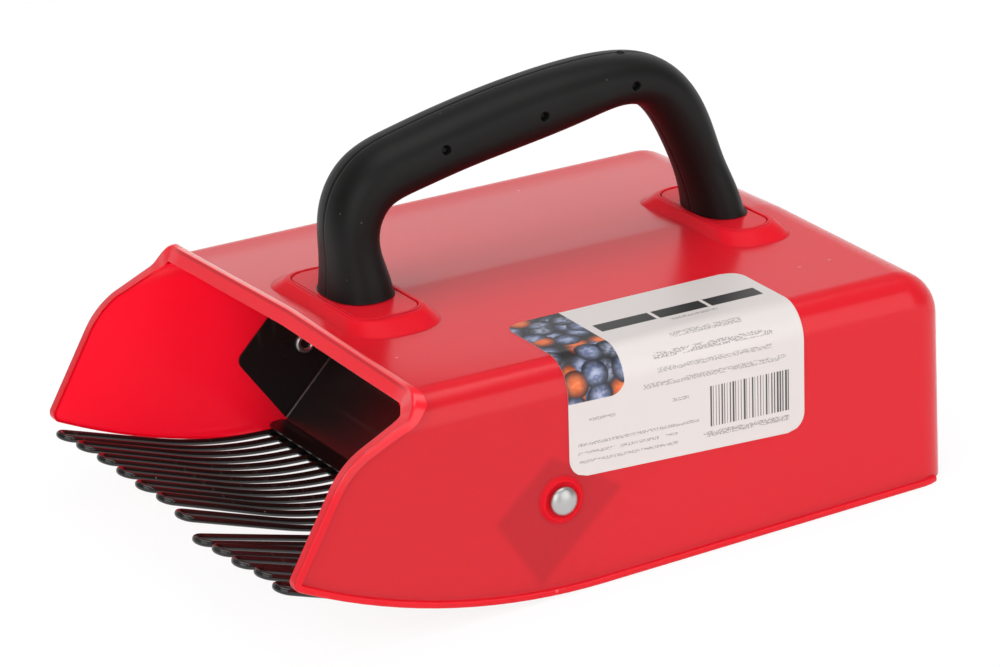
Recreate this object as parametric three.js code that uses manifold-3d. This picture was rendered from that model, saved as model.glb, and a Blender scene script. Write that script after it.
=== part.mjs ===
// Berry picking rake: a moulded hood with an arched handle, a sheet steel ramp and floor, and a comb of wire hairpins.
// Lengths are millimetres. The rake is drawn level, then tipped back by the rise of its keel, so that it stands on
// the straight bottom edges of its side walls. +Z is up, -Y is the way the tines point, +X is the labelled side.

import * as THREE from 'three';
import { mergeVertices } from 'three/addons/utils/BufferGeometryUtils.js';
import Module from 'manifold-3d';

const wasm = await Module();
wasm.setup();

// Clearances and cut lengths
const seatGap = 0.25;
const sheetGap = 0.2;
const labelGap = 0.15;
const overrun = 30;

// Hood
const hoodWidth = 177.6;
const wall = 2.4;
const edgeRadius = 11;
const leastRadius = 0.3;
const leastStraight = 1.2;
const rearY = 229;
const rearDraft = 1.15;
const rearRadius = 14;
const headerTopZ = 71.2;
const crownDrop = 1.3;
const topSlope = THREE.MathUtils.degToRad(2.33);
const rimRaise = 1.4;
const headerRaise = 2.5;
const headerRadius = 9;
const headerWidth = 4.6;
const rimWidth = 2.9;
const keelRimHeight = 2.2;
const rimEndMargin = 6;

// Side wall outline, seen from the labelled side
const noseY = -1.2;
const noseZ = 19.9;
const noseRadius = 3;
const kneeY = 18.3;
const kneeZ = 55.1;
const kneeRadius = 28;
const browY = 39.3;
const browZ = 65;
const browRadius = 5;
const riserSlope = THREE.MathUtils.degToRad(62);
const keelY = 52;
const keelZ = -3.3;
const keelRadius = 212;
const keelRise = THREE.MathUtils.degToRad(4.11);

// Collars that the handle stands in
const collarLength = 73.5;
const collarRadius = 13;
const collarHeight = 3;
const collarMargin = 1.9;
const frontCollarY = 67;
const frontCollarDepth = 31;
const rearCollarMargin = 32.6;
const rearCollarDepth = 28.8;

// Handle
const footLength = 54.4;
const footRadius = 7;
const frontFootDepth = 22.2;
const rearFootDepth = 17.8;
const footThickness = 2.6;
const gripSkin = 2.6;
const gripDepth = 21.5;
const gripWidth = 26;
const gripHeight = 53;
const gripSquareness = 2.3;
const dimpleRadius = 1.3;
const dimpleDepth = 1.6;
const screwRadius = 2.2;
const screwHeadRadius = 5;
const screwHeadHeight = 2.4;
const screwLength = 11;

// Route of the handle: share of the span between the collars, and share of the grip height above the hood.
// The first and last places lie below the collars, where the handle is cut off.
const routeShares = [
  [0.003, -0.12], [0.003, 0.084], [-0.008, 0.296], [-0.005, 0.515], [0.038, 0.69], [0.141, 0.79], [0.273, 0.86],
  [0.447, 0.93], [0.608, 0.984], [0.725, 1.002], [0.814, 0.945], [0.876, 0.8], [0.924, 0.571], [0.956, 0.366],
  [0.993, 0.084], [1.001, -0.12],
];
// Thickness and width of the grip at those places, as shares of its greatest ones
const depthShares = [0.98, 0.94, 0.79, 0.82, 0.88, 0.91, 0.93, 0.95, 0.87, 0.76, 0.76, 0.75, 0.7, 0.66, 0.72, 0.74];
const widthShares = [1.18, 1.14, 0.98, 0.93, 0.96, 1, 1, 1, 1, 0.97, 0.93, 0.91, 0.89, 0.89, 1.08, 1.12];
const dimpleShares = [0.37, 0.479, 0.605];

// Sheet steel
const sheet = 0.6;
const floorInset = 0.05;
const floorSideGap = 0.5;
const lipDepth = 7.2;
const lipFrontY = 74.4;
const rampLength = 40;
const rampAngle = THREE.MathUtils.degToRad(46.5);
const flangeWidth = 28.3;
const flangeBottom = 1.2;
const flangeEndMargin = 0.8;
const flangeRadius = 3.5;
const flangeLean = THREE.MathUtils.degToRad(9);
const rearLipHeight = 6.5;
const rearLipHalfLength = 80;
const tongueDepth = 14;

// Comb: wire bent to hairpins, side by side over the inner width of the hood
const hairpinCount = 12;
const wireDiameter = 2.1;
const wireSides = 8;
const rootDepth = 6.2;
const bendY = 51;
const bendRadius = 130;
const bendSteps = 6;
const tipY = -0.6;
const tipZ = 17.9;
// How far each tip hangs below the row and reaches in front of it, in wire diameters, from the far side to the
// labelled side
const tipSagShares = [0.33, 0, 0, 0, 0, -0.14, 0.29, 2, 1.24, 0.83, 0.24, 0.12];
const tipReachShares = [0.7, 0.38, 0, -0.12, -0.1, -0.38, -0.2, 0.24, 0.29, 0.43, 0.14, 0.57];

// Rivets
const rivetAlong = 24.4;
const rivetUp = 11.5;
const rivetHeadRadius = 4.6;
const rivetHeadHeight = 2.5;
const rivetShankRadius = 2.4;
const rivetBoreRadius = 1.6;
const rivetRollRadius = 3.6;
const rivetRollHeight = 1.2;
const bossRadius = 6.5;
const bossHeight = 1;
const rearRivetX = 45;
const rearRivetUp = 3.4;
const rearRivetShare = 0.58;

// Label
const labelThickness = 0.25;
const labelLength = 82.3;
const labelRearMargin = 53.7;
const labelBottomZ = 35.8;
const labelTopX = 48.5;
const labelRadius = 6;

// Facets
const arcSteps = 6;
const domeSteps = 4;
const roundSides = 20;
const gripSides = 16;
const gripSteps = 27;

// Sizes that follow from those above
const halfWidth = hoodWidth / 2;
const innerHalfWidth = halfWidth - wall;
const legPitch = (2 * innerHalfWidth) / (2 * hairpinCount);
const floorPitch = Math.tan(keelRise);
const rearCollarY = rearY - rearCollarMargin;
const labelRearY = rearY - labelRearMargin;
const labelFrontY = labelRearY - labelLength;

const collars = [
  { y: frontCollarY, depth: frontCollarDepth, footDepth: frontFootDepth },
  { y: rearCollarY, depth: rearCollarDepth, footDepth: rearFootDepth },
];
const topZ = (y) => headerTopZ + (y - browY) * Math.tan(topSlope);

function vectorAt(angle, length = 1) {
  return new THREE.Vector2(Math.cos(angle) * length, Math.sin(angle) * length);
}

// Solids to and from the boolean library
function toSolid(geometry) {
  const plain = geometry.clone();
  plain.deleteAttribute('normal');
  plain.deleteAttribute('uv');
  const welded = mergeVertices(plain, 1e-4);
  return new wasm.Manifold(new wasm.Mesh({
    numProp: 3,
    vertProperties: new Float32Array(welded.attributes.position.array),
    triVerts: new Uint32Array(welded.index.array),
  }));
}

function toGeometry(solid) {
  const data = solid.getMesh();
  const geometry = new THREE.BufferGeometry();
  geometry.setAttribute('position', new THREE.BufferAttribute(new Float32Array(data.vertProperties), 3));
  geometry.setIndex(new THREE.BufferAttribute(new Uint32Array(data.triVerts), 1));
  geometry.computeVertexNormals();
  return geometry;
}

const joined = (solids) => solids.reduce((whole, solid) => whole.add(solid));

// How far a corner's arc reaches along the sides beside it, as a share of its radius
function arcReachShare(corners, i) {
  const count = corners.length;
  const before = corners[(i + count - 1) % count];
  const after = corners[(i + 1) % count];
  const into = new THREE.Vector2(corners[i].x - before.x, corners[i].y - before.y);
  const out = new THREE.Vector2(after.x - corners[i].x, after.y - corners[i].y);
  return Math.tan(Math.abs(Math.atan2(into.cross(out), into.dot(out))) / 2);
}

// A corner's radius, limited by the straight walls beside it, which it shares with the arcs of its neighbours
function fittedRadius(corners, i) {
  const count = corners.length;
  const corner = corners[i];
  const rooms = [(i + count - 1) % count, (i + 1) % count].map((k) => {
    const side = Math.hypot(corners[k].x - corner.x, corners[k].y - corner.y) - leastStraight;
    return Math.max(side - corners[k].radius * arcReachShare(corners, k), side / 2);
  });
  return Math.min(corner.radius, Math.min(...rooms) / arcReachShare(corners, i));
}

// Outline with rounded corners. Corners run counter-clockwise; each has x, y and a radius. The inset of the side
// that leaves a corner may differ from side to side.
function roundedOutline(corners, insetOf = () => 0) {
  const count = corners.length;
  const sides = corners.map((corner, i) => {
    const next = corners[(i + 1) % count];
    const along = new THREE.Vector2(next.x - corner.x, next.y - corner.y).normalize();
    const inward = new THREE.Vector2(-along.y, along.x);
    const start = new THREE.Vector2(corner.x, corner.y).addScaledVector(inward, insetOf(i));
    return { along, inward, start };
  });
  const points = [];
  corners.forEach((corner, i) => {
    const before = sides[(i + count - 1) % count];
    const after = sides[i];
    const turn = Math.atan2(before.along.cross(after.along), before.along.dot(after.along));
    const across = after.start.clone().sub(before.start);
    const reach = across.cross(after.along) / before.along.cross(after.along);
    const meet = before.start.clone().addScaledVector(before.along, reach);
    if (corner.radius === 0) {
      points.push(meet);
      return;
    }
    const side = Math.sign(turn);
    const inset = (insetOf((i + count - 1) % count) + insetOf(i)) / 2;
    const radius = Math.max(fittedRadius(corners, i) - side * inset, leastRadius);
    const start = meet.clone().addScaledVector(before.along, -radius * Math.tan(Math.abs(turn) / 2));
    const centre = start.clone().addScaledVector(before.inward, side * radius);
    const steps = corner.steps ?? arcSteps;
    for (let k = 0; k <= steps; k += 1) {
      points.push(start.clone().rotateAround(centre, (turn * k) / steps));
    }
  });
  return points;
}

function roundedRectangle(length, depth, radius) {
  return roundedOutline([
    { x: -length / 2, y: -depth / 2, radius },
    { x: length / 2, y: -depth / 2, radius },
    { x: length / 2, y: depth / 2, radius },
    { x: -length / 2, y: depth / 2, radius },
  ]);
}

// Skin over rings of equally many points that run counter-clockwise about the way from first to last
function loft(rings) {
  const count = rings[0].length;
  const last = (rings.length - 1) * count;
  const index = [];
  for (let i = 0; i < last; i += count) {
    for (let j = 0; j < count; j += 1) {
      const a = i + j;
      const b = i + ((j + 1) % count);
      index.push(a, b, b + count, a, b + count, a + count);
    }
  }
  for (let j = 1; j < count - 1; j += 1) {
    index.push(0, j + 1, j, last, last + j, last + j + 1);
  }
  const geometry = new THREE.BufferGeometry();
  geometry.setAttribute('position', new THREE.Float32BufferAttribute(rings.flat().flatMap((p) => p.toArray()), 3));
  geometry.setIndex(index);
  return toSolid(geometry);
}

// Slab with an outline in the plane of Y and Z, between two places along X
function slabAlongX(outline, fromX, toX) {
  const geometry = new THREE.ExtrudeGeometry(new THREE.Shape(outline), { depth: toX - fromX, bevelEnabled: false });
  const turn = new THREE.Matrix4().makeBasis(
    new THREE.Vector3(0, 1, 0),
    new THREE.Vector3(0, 0, 1),
    new THREE.Vector3(1, 0, 0),
  );
  geometry.applyMatrix4(turn);
  geometry.translate(fromX, 0, 0);
  return toSolid(geometry);
}

function box(from, to) {
  const geometry = new THREE.BoxGeometry(to.x - from.x, to.y - from.y, to.z - from.z);
  geometry.translate((from.x + to.x) / 2, (from.y + to.y) / 2, (from.z + to.z) / 2);
  return toSolid(geometry);
}

// Tapered block between two rounded rectangles, standing on the ground plane
function frustum(lower, upper, fromZ, toZ) {
  return loft([
    lower.map((p) => new THREE.Vector3(p.x, p.y, fromZ)),
    upper.map((p) => new THREE.Vector3(p.x, p.y, toZ)),
  ]);
}

function turned(profile) {
  const geometry = new THREE.LatheGeometry(profile.map(([r, h]) => new THREE.Vector2(r, h)), roundSides);
  geometry.rotateX(Math.PI / 2);
  return toSolid(geometry);
}

function round(radius, fromZ, toZ) {
  return turned([[0, fromZ], [radius, fromZ], [radius, toZ], [0, toZ]]);
}

// Sets a solid that was drawn standing on the ground plane on the hood's sloping top
function onTop(solid, y) {
  const matrix = new THREE.Matrix4().makeRotationX(topSlope).setPosition(0, y, topZ(y));
  return solid.transform(matrix.elements);
}

// Turns a solid that was drawn along Z to point along X, on the given side
function sideways(solid, side, y, z, x) {
  const matrix = new THREE.Matrix4().makeRotationY((side * Math.PI) / 2).setPosition(side * x, y, z);
  return solid.transform(matrix.elements);
}

// The rounded box that the hood is cut from, inset at its sides, top and rear. Its top has a slight ridge along the
// middle and falls to both sides.
function hoodForm(sideInset, topInset = sideInset, radius = edgeRadius - sideInset) {
  const reach = radius;
  const section = (x, drop, fall = crownDrop) => roundedOutline([
    { x: -overrun, y: -overrun, radius: 0 },
    { x: rearY + rearDraft, y: -overrun, radius: 0 },
    { x: rearY - rearDraft, y: topZ(rearY - rearDraft) - fall, radius: rearRadius },
    { x: -overrun, y: topZ(-overrun) - fall, radius: 0 },
  ], (i) => drop + (i === 1 ? sideInset : topInset)).map((p) => new THREE.Vector3(x, p.x, p.y));
  const flat = halfWidth - sideInset - reach;
  const rings = [];
  for (let k = arcSteps; k >= 0; k -= 1) {
    const angle = ((Math.PI / 2) * k) / arcSteps;
    rings.push(section(-flat - reach * Math.sin(angle), reach * (1 - Math.cos(angle))));
  }
  rings.push(section(0, 0, 0));
  for (let k = 0; k <= arcSteps; k += 1) {
    const angle = ((Math.PI / 2) * k) / arcSteps;
    rings.push(section(flat + reach * Math.sin(angle), reach * (1 - Math.cos(angle))));
  }
  return loft(rings);
}

// Outline of a side wall. It runs past the rear and the top, which the rounded box cuts off.
function sideOutline(mouthInset = 0, keelInset = 0, headerInset = mouthInset) {
  const endY = rearY + overrun;
  const headZ = topZ(rearY) + overrun;
  const corners = [
    { x: keelY, y: keelZ, radius: keelRadius, steps: 2 * arcSteps, inset: keelInset },
    { x: endY, y: keelZ + (endY - keelY) * floorPitch, radius: 0, inset: 0 },
    { x: endY, y: headZ, radius: 0, inset: 0 },
    { x: browY + (headZ - browZ) / Math.tan(riserSlope), y: headZ, radius: 0, inset: headerInset },
    { x: browY, y: browZ, radius: browRadius, inset: mouthInset },
    { x: kneeY, y: kneeZ, radius: kneeRadius, inset: mouthInset },
    { x: noseY, y: noseZ, radius: noseRadius, inset: keelInset },
  ];
  return roundedOutline(corners, (i) => corners[i].inset);
}

// Height of the keel's curved and straight edge, seen from the side
function keelEdgeZ(y) {
  const straightY = keelY + keelRadius * Math.tan(keelTurn() / 2) * Math.cos(keelRise);
  const straightZ = keelZ + (straightY - keelY) * floorPitch;
  if (y >= straightY) {
    return straightZ + (y - straightY) * floorPitch;
  }
  const centreY = straightY - keelRadius * Math.sin(keelRise);
  const centreZ = straightZ + keelRadius * Math.cos(keelRise);
  return centreZ - Math.sqrt(keelRadius ** 2 - (y - centreY) ** 2);
}

function keelTurn() {
  return Math.atan2(noseZ - keelZ, keelY - noseY) + keelRise;
}

// Rivet places
const stackZ = keelEdgeZ(lipFrontY) + floorInset + sheet + sheetGap;
const wireZ = stackZ + wireDiameter / 2;
const lipZ = stackZ + wireDiameter + sheetGap;
const foldY = lipFrontY + lipDepth;
const foldZ = lipZ + sheet;
const rampDirection = vectorAt(rampAngle);
const rampUp = vectorAt(rampAngle + Math.PI / 2);

function rampPoint(along, up) {
  return new THREE.Vector2(foldY, foldZ).addScaledVector(rampDirection, along).addScaledVector(rampUp, up);
}

const rivetPoint = rampPoint(rivetAlong, rivetUp);
const floorTopZ = (y) => keelEdgeZ(y) + (floorInset + sheet) / Math.cos(keelRise);

// Rear rivets, through the upturned lip of the floor and the rear wall
const sideRivet = {
  head: rivetHeadRadius,
  headHeight: rivetHeadHeight,
  shank: rivetShankRadius,
  bore: rivetBoreRadius,
  roll: rivetRollRadius,
  rollHeight: rivetRollHeight,
};
const rearRivet = Object.fromEntries(Object.entries(sideRivet).map(([key, size]) => [key, size * rearRivetShare]));
const rearRivetPlaces = [rearRivetX, -rearRivetX];
const rearFaceY = (z) => rearY + rearDraft - (2 * rearDraft * (z + overrun)) / (topZ(rearY) + overrun);
const rearLipY = rearFaceY(floorTopZ(rearY)) + sheetGap;
const rearStack = rearLipY + sheet - rearFaceY(floorTopZ(rearY)) + wall;

// Turns a solid that was drawn along Z to point out of the rear wall
function atRear(solid, x) {
  const z = floorTopZ(rearY) + rearRivetUp;
  const matrix = new THREE.Matrix4().makeRotationX(-Math.PI / 2).setPosition(x, rearLipY + sheet, z);
  return solid.transform(matrix.elements);
}

// Block round the foot of the rear wall, up to a height above the floor plate
function rearFoot(height) {
  const reach = rearLipHalfLength + seatGap;
  return box(
    new THREE.Vector3(-reach, rearY - tongueDepth, -overrun),
    new THREE.Vector3(reach, rearY + overrun, floorTopZ(rearY) + height),
  );
}

// Collar with sloping sides, and the pocket in it that a foot of the handle is let into
function makeCollar({ y, depth, footDepth }) {
  const lower = roundedRectangle(collarLength, depth, collarRadius);
  const upper = roundedRectangle(
    footLength + 2 * collarMargin,
    footDepth + 2 * collarMargin,
    footRadius + collarMargin,
  );
  return onTop(frustum(lower, upper, 0, collarHeight).add(frustum(lower, lower, -wall / 2, 0)), y);
}

function makePocket({ y, footDepth }) {
  const outline = roundedRectangle(footLength, footDepth, footRadius);
  return onTop(frustum(outline, outline, collarHeight - footThickness - seatGap, overrun), y);
}

// Moulded hood: shell, rim round the mouth and along the keel, two collars, and a boss for each side rivet
function makeHood() {
  const reach = halfWidth + overrun;
  const outline = slabAlongX(sideOutline(), -reach, reach);
  const shell = hoodForm(0).intersect(outline).subtract(hoodForm(wall));

  const behindRim = slabAlongX(sideOutline(rimWidth, keelRimHeight, headerWidth), -reach, reach);
  const beyondRim = box(
    new THREE.Vector3(-reach, rearY - rimEndMargin, -overrun),
    new THREE.Vector3(reach, rearY + overrun, topZ(rearY) + overrun),
  );
  const rim = hoodForm(-rimRaise, -headerRaise, headerRadius).intersect(outline)
    .subtract(behindRim)
    .subtract(beyondRim)
    .subtract(hoodForm(wall));

  const bossFoot = bossRadius + bossHeight / 2;
  const boss = turned([[0, -wall / 2], [bossFoot, -wall / 2], [bossFoot, 0], [bossRadius, bossHeight], [0, bossHeight]]);
  const rivetHole = round(rivetShankRadius + seatGap, -overrun, overrun);
  const atSideRivet = (solid, side) => sideways(solid, side, rivetPoint.x, rivetPoint.y, halfWidth);

  const body = joined([
    shell,
    rim,
    ...collars.map(makeCollar),
    atSideRivet(boss, 1),
    atSideRivet(boss, -1),
  ]);
  return body.subtract(joined([
    ...collars.map(makePocket),
    ...screwPlaces.map((y) => onTop(round(screwRadius + seatGap, -overrun, overrun), y)),
    atSideRivet(rivetHole, 1),
    atSideRivet(rivetHole, -1),
    rearFoot(seatGap),
    ...rearRivetPlaces.map((x) => atRear(round(rearRivet.shank + seatGap, -overrun, overrun), x)),
  ]));
}

// Handle: one route and one set of widths serve the core and the grip round it
const span = rearCollarY - frontCollarY;
const handleRoute = new THREE.CatmullRomCurve3(routeShares.map(([along, up]) => {
  const y = frontCollarY + along * span;
  return new THREE.Vector3(0, y, topZ(y) + up * gripHeight);
}));
const handleSection = new THREE.CatmullRomCurve3(depthShares.map((depthShare, i) => (
  new THREE.Vector3((widthShares[i] * gripWidth) / 2, (depthShare * gripDepth) / 2, 0)
)));
const screwPlaces = [frontCollarY, handleRoute.points.at(-2).y];

function handleLoft(inset) {
  const across = new THREE.Vector3(1, 0, 0);
  const rings = [];
  for (let i = 0; i <= gripSteps; i += 1) {
    const share = i / gripSteps;
    const centre = handleRoute.getPoint(share);
    const tangent = handleRoute.getTangent(share);
    const outward = new THREE.Vector3().crossVectors(tangent, across);
    const size = handleSection.getPoint(share);
    const ring = [];
    for (let j = 0; j < gripSides; j += 1) {
      const angle = (2 * Math.PI * j) / gripSides;
      const power = (value) => Math.sign(value) * Math.abs(value) ** (2 / gripSquareness);
      ring.push(centre.clone()
        .addScaledVector(across, (size.x - inset) * power(Math.cos(angle)))
        .addScaledVector(outward, (size.y - inset) * power(Math.sin(angle))));
    }
    rings.push(ring);
  }
  return loft(rings);
}

// What lies below a level over each collar
function belowLevel(level) {
  return joined(collars.map(({ y, depth }) => onTop(box(
    new THREE.Vector3(-collarLength / 2, -depth / 2, -overrun),
    new THREE.Vector3(collarLength / 2, depth / 2, level),
  ), y)));
}

function makeHandleCore() {
  const feet = collars.map(({ y, footDepth }) => {
    const outline = roundedRectangle(footLength - 2 * seatGap, footDepth - 2 * seatGap, footRadius - seatGap);
    return onTop(frustum(outline, outline, collarHeight - footThickness, collarHeight), y);
  });
  const arch = handleLoft(gripSkin + seatGap).subtract(belowLevel(collarHeight - footThickness));
  const hole = round(screwRadius + seatGap, -overrun, screwLength - wall + seatGap);
  return joined([arch, ...feet])
    .subtract(joined(screwPlaces.map((y) => onTop(hole, y))));
}

function makeHandleGrip() {
  const sleeve = handleLoft(0).subtract(handleLoft(gripSkin)).subtract(belowLevel(collarHeight + seatGap));
  const dimples = dimpleShares.flatMap((share) => [1, -1].map((side) => {
    const place = handleRoute.getPoint(share);
    const halfGrip = handleSection.getPoint(share).x;
    return sideways(round(dimpleRadius, -dimpleDepth, overrun), side, place.y, place.z, halfGrip);
  }));
  return sleeve.subtract(joined(dimples));
}

// Self-tapping screw, driven up into a foot of the handle from inside the bin
function makeHandleScrew(y) {
  const headTop = -wall - sheetGap;
  const tipHeight = screwRadius;
  const screw = turned([
    [0, headTop - screwHeadHeight],
    [screwHeadRadius - screwHeadHeight / 2, headTop - screwHeadHeight],
    [screwHeadRadius, headTop - screwHeadHeight / 2],
    [screwHeadRadius, headTop],
    [screwRadius, headTop],
    [screwRadius, screwLength - wall - tipHeight],
    [0, screwLength - wall],
  ]);
  return onTop(screw, y);
}

// Ramp: a lip over the wires, a slope up to the bin, and a flange up each side wall
function makeRampPlate() {
  const inner = sheet * Math.tan(rampAngle / 2);
  const end = rampPoint(rampLength, 0);
  const section = [
    new THREE.Vector2(lipFrontY, lipZ),
    new THREE.Vector2(foldY + inner, lipZ),
    end.clone().addScaledVector(rampUp, -sheet),
    end,
    new THREE.Vector2(foldY, foldZ),
    new THREE.Vector2(lipFrontY, foldZ),
  ];
  const outerX = innerHalfWidth - sheetGap;
  const plate = slabAlongX(section, -outerX, outerX);
  const lean = flangeWidth * Math.tan(flangeLean);
  const flangeCorners = [
    [flangeBottom, -sheet / 2, 0],
    [rampLength - flangeEndMargin, -sheet / 2, 0],
    [rampLength - flangeEndMargin, flangeWidth, 2 * flangeRadius],
    [flangeBottom + lean, flangeWidth, flangeRadius],
  ].map(([along, up, radius]) => {
    const place = rampPoint(along, up);
    return { x: place.x, y: place.y, radius };
  });
  const outline = roundedOutline(flangeCorners);
  const hole = round(rivetShankRadius + seatGap, -overrun, overrun);
  return joined([
    plate,
    slabAlongX(outline, outerX - sheet, outerX),
    slabAlongX(outline, -outerX, -outerX + sheet),
  ]).subtract(joined([1, -1].map((side) => sideways(hole, side, rivetPoint.x, rivetPoint.y, halfWidth))));
}

// Floor: a sheet along the keel, from under the wires to an upturned lip outside the rear wall
function makeFloorPlate() {
  const reach = innerHalfWidth - floorSideGap;
  const sheetAlongKeel = slabAlongX(sideOutline(0, floorInset), -reach, reach)
    .subtract(slabAlongX(sideOutline(0, floorInset + sheet), -halfWidth, halfWidth));
  const bottomZ = keelEdgeZ(rearLipY) + floorInset;
  const plan = box(
    new THREE.Vector3(-reach, lipFrontY, -overrun),
    new THREE.Vector3(reach, rearY - tongueDepth, headerTopZ),
  ).add(box(
    new THREE.Vector3(-rearLipHalfLength, lipFrontY, -overrun),
    new THREE.Vector3(rearLipHalfLength, rearLipY + sheet, headerTopZ),
  ));
  const rearLip = box(
    new THREE.Vector3(-rearLipHalfLength, rearLipY, bottomZ),
    new THREE.Vector3(rearLipHalfLength, rearLipY + sheet, bottomZ + rearLipHeight),
  );
  return sheetAlongKeel.intersect(plan).add(rearLip)
    .subtract(joined(rearRivetPlaces.map((x) => atRear(round(rearRivet.shank + seatGap, -overrun, overrun), x))));
}

// Hairpin: up one leg, round the tip and down the other leg
function makeHairpin(middleX, sag, tipReach) {
  const halfPitch = legPitch / 2;
  const root = { x: lipFrontY + rootDepth, y: wireZ, radius: 0 };
  const bend = { x: bendY, y: wireZ, radius: bendRadius, steps: bendSteps };
  const tip = { x: tipY - tipReach, y: tipZ - sag, radius: 0 };
  const closing = { x: root.x, y: tipZ + overrun, radius: 0 };
  const leg = roundedOutline([bend, root, closing, tip]).slice(0, bendSteps + 2).reverse();
  const forward = new THREE.Vector2(tip.x - bend.x, tip.y - bend.y).normalize();
  const turnCentre = new THREE.Vector2(tip.x, tip.y).addScaledVector(forward, -halfPitch - wireDiameter / 2);
  const side = (x) => leg.map((p) => new THREE.Vector3(x, p.x, p.y));
  const path = side(middleX - halfPitch);
  for (let k = 0; k <= arcSteps; k += 1) {
    const angle = (Math.PI * k) / arcSteps;
    const reach = turnCentre.clone().addScaledVector(forward, halfPitch * Math.sin(angle));
    path.push(new THREE.Vector3(middleX - halfPitch * Math.cos(angle), reach.x, reach.y));
  }
  path.push(...side(middleX + halfPitch).reverse());
  return wire(path);
}

// Round wire along points, its rings turned from one to the next without twist
function wire(path) {
  const up = new THREE.Vector3(0, 0, 1);
  const rings = path.map((point, i) => {
    const before = path[Math.max(i - 1, 0)];
    const after = path[Math.min(i + 1, path.length - 1)];
    const tangent = new THREE.Vector3().subVectors(after, before).normalize();
    const across = new THREE.Vector3().crossVectors(up, tangent).normalize();
    const upward = new THREE.Vector3().crossVectors(tangent, across);
    const ring = [];
    for (let j = 0; j < wireSides; j += 1) {
      const angle = (2 * Math.PI * j) / wireSides;
      ring.push(point.clone()
        .addScaledVector(across, (wireDiameter / 2) * Math.cos(angle))
        .addScaledVector(upward, (wireDiameter / 2) * Math.sin(angle)));
    }
    return ring;
  });
  return loft(rings);
}

// Semi-tubular rivet along Z: its domed head stands on the ground plane, its rolled end lies below the stack
function makeRivet(size, stack) {
  const rollTop = -stack - sheetGap;
  const rollBottom = rollTop - size.rollHeight;
  const dome = [];
  for (let k = 0; k <= domeSteps; k += 1) {
    const angle = (Math.PI / 2) * (k / domeSteps);
    dome.push([size.head * Math.cos(angle), sheetGap + size.headHeight * Math.sin(angle)]);
  }
  dome.at(-1)[0] = 0;
  return turned([
    [0, rollBottom + 2 * size.rollHeight],
    [size.bore, rollBottom + 2 * size.rollHeight],
    [size.bore, rollBottom],
    [size.roll - size.rollHeight / 2, rollBottom],
    [size.roll, rollTop - size.rollHeight / 2],
    [size.roll, rollTop],
    [size.shank, rollTop],
    [size.shank, sheetGap],
    ...dome,
  ]);
}

function makeSideRivet(side) {
  const rivet = makeRivet(sideRivet, bossHeight + wall + sheetGap + sheet);
  return sideways(rivet, side, rivetPoint.x, rivetPoint.y, halfWidth + bossHeight);
}

function makeRearRivet(x) {
  return atRear(makeRivet(rearRivet, rearStack), x);
}

// Label: a skin round the upper edge of the labelled side
function makeLabel() {
  const onSide = roundedOutline([
    { x: labelFrontY, y: labelBottomZ, radius: labelRadius },
    { x: labelRearY, y: labelBottomZ, radius: labelRadius },
    { x: labelRearY, y: topZ(rearY) + overrun, radius: 0 },
    { x: labelFrontY, y: topZ(rearY) + overrun, radius: 0 },
  ]);
  const overTop = roundedOutline([
    { x: labelTopX, y: labelFrontY, radius: labelRadius },
    { x: halfWidth + overrun, y: labelFrontY, radius: 0 },
    { x: halfWidth + overrun, y: labelRearY, radius: 0 },
    { x: labelTopX, y: labelRearY, radius: labelRadius },
  ]);
  const skin = hoodForm(-labelGap - labelThickness).subtract(hoodForm(-labelGap));
  return skin.intersect(slabAlongX(onSide, 0, halfWidth + overrun))
    .intersect(frustum(overTop, overTop, 0, topZ(rearY) + overrun));
}

// Materials
function finish(color, roughness, metalness) {
  return new THREE.MeshStandardMaterial({ color, roughness, metalness });
}
const redPlastic = () => finish('#d3121c', 0.32, 0);
const blackSteel = () => finish('#141515', 0.4, 0.3);
const blackWire = () => finish('#0e0d0d', 0.25, 0.2);
const softBlack = () => finish('#17181a', 0.7, 0);
const brightSteel = () => finish('#c4c6c8', 0.3, 1);
const whiteLabel = () => finish('#ecebe6', 0.5, 0);

const rake = new THREE.Group();
const level = new THREE.Group();
rake.add(level);

function place(name, solid, material) {
  const mesh = new THREE.Mesh(toGeometry(solid), material);
  mesh.name = name;
  level.add(mesh);
}

place('hood', makeHood(), redPlastic());
place('handle_core', makeHandleCore(), redPlastic());
place('handle_grip', makeHandleGrip(), softBlack());
place('handle_screw_front', makeHandleScrew(screwPlaces[0]), brightSteel());
place('handle_screw_rear', makeHandleScrew(screwPlaces[1]), brightSteel());
place('ramp_plate', makeRampPlate(), blackSteel());
place('floor_plate', makeFloorPlate(), blackSteel());
tipSagShares.slice(0, hairpinCount).forEach((sagShare, i) => {
  const middleX = (2 * i + 1 - hairpinCount) * legPitch;
  const name = `hairpin_${String(i + 1).padStart(2, '0')}`;
  const tipReach = tipReachShares[i] * wireDiameter;
  place(name, makeHairpin(middleX, sagShare * wireDiameter, tipReach), blackWire());
});
place('side_rivet_left', makeSideRivet(1), brightSteel());
place('side_rivet_right', makeSideRivet(-1), brightSteel());
place('rear_rivet_left', makeRearRivet(rearRivetPlaces[0]), brightSteel());
place('rear_rivet_right', makeRearRivet(rearRivetPlaces[1]), brightSteel());
place('label', makeLabel(), whiteLabel());

// Tip the rake back onto its keel, and put the middle of its footprint at the origin
level.rotation.x = -keelRise;
rake.updateMatrixWorld(true);
const bounds = new THREE.Box3().setFromObject(rake, true);
level.position.set(0, -(bounds.min.y + bounds.max.y) / 2, -bounds.min.z);

export default rake;
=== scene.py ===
# Berry picking rake: red moulded hood with a soft black grip, a black steel ramp and a comb of coated wire.
from math import acos, asin, atan, atan2, copysign, cos, exp, hypot, pi, radians, sin, sqrt, tan

import bpy
import numpy as np
from mathutils import Matrix, Vector


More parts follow.
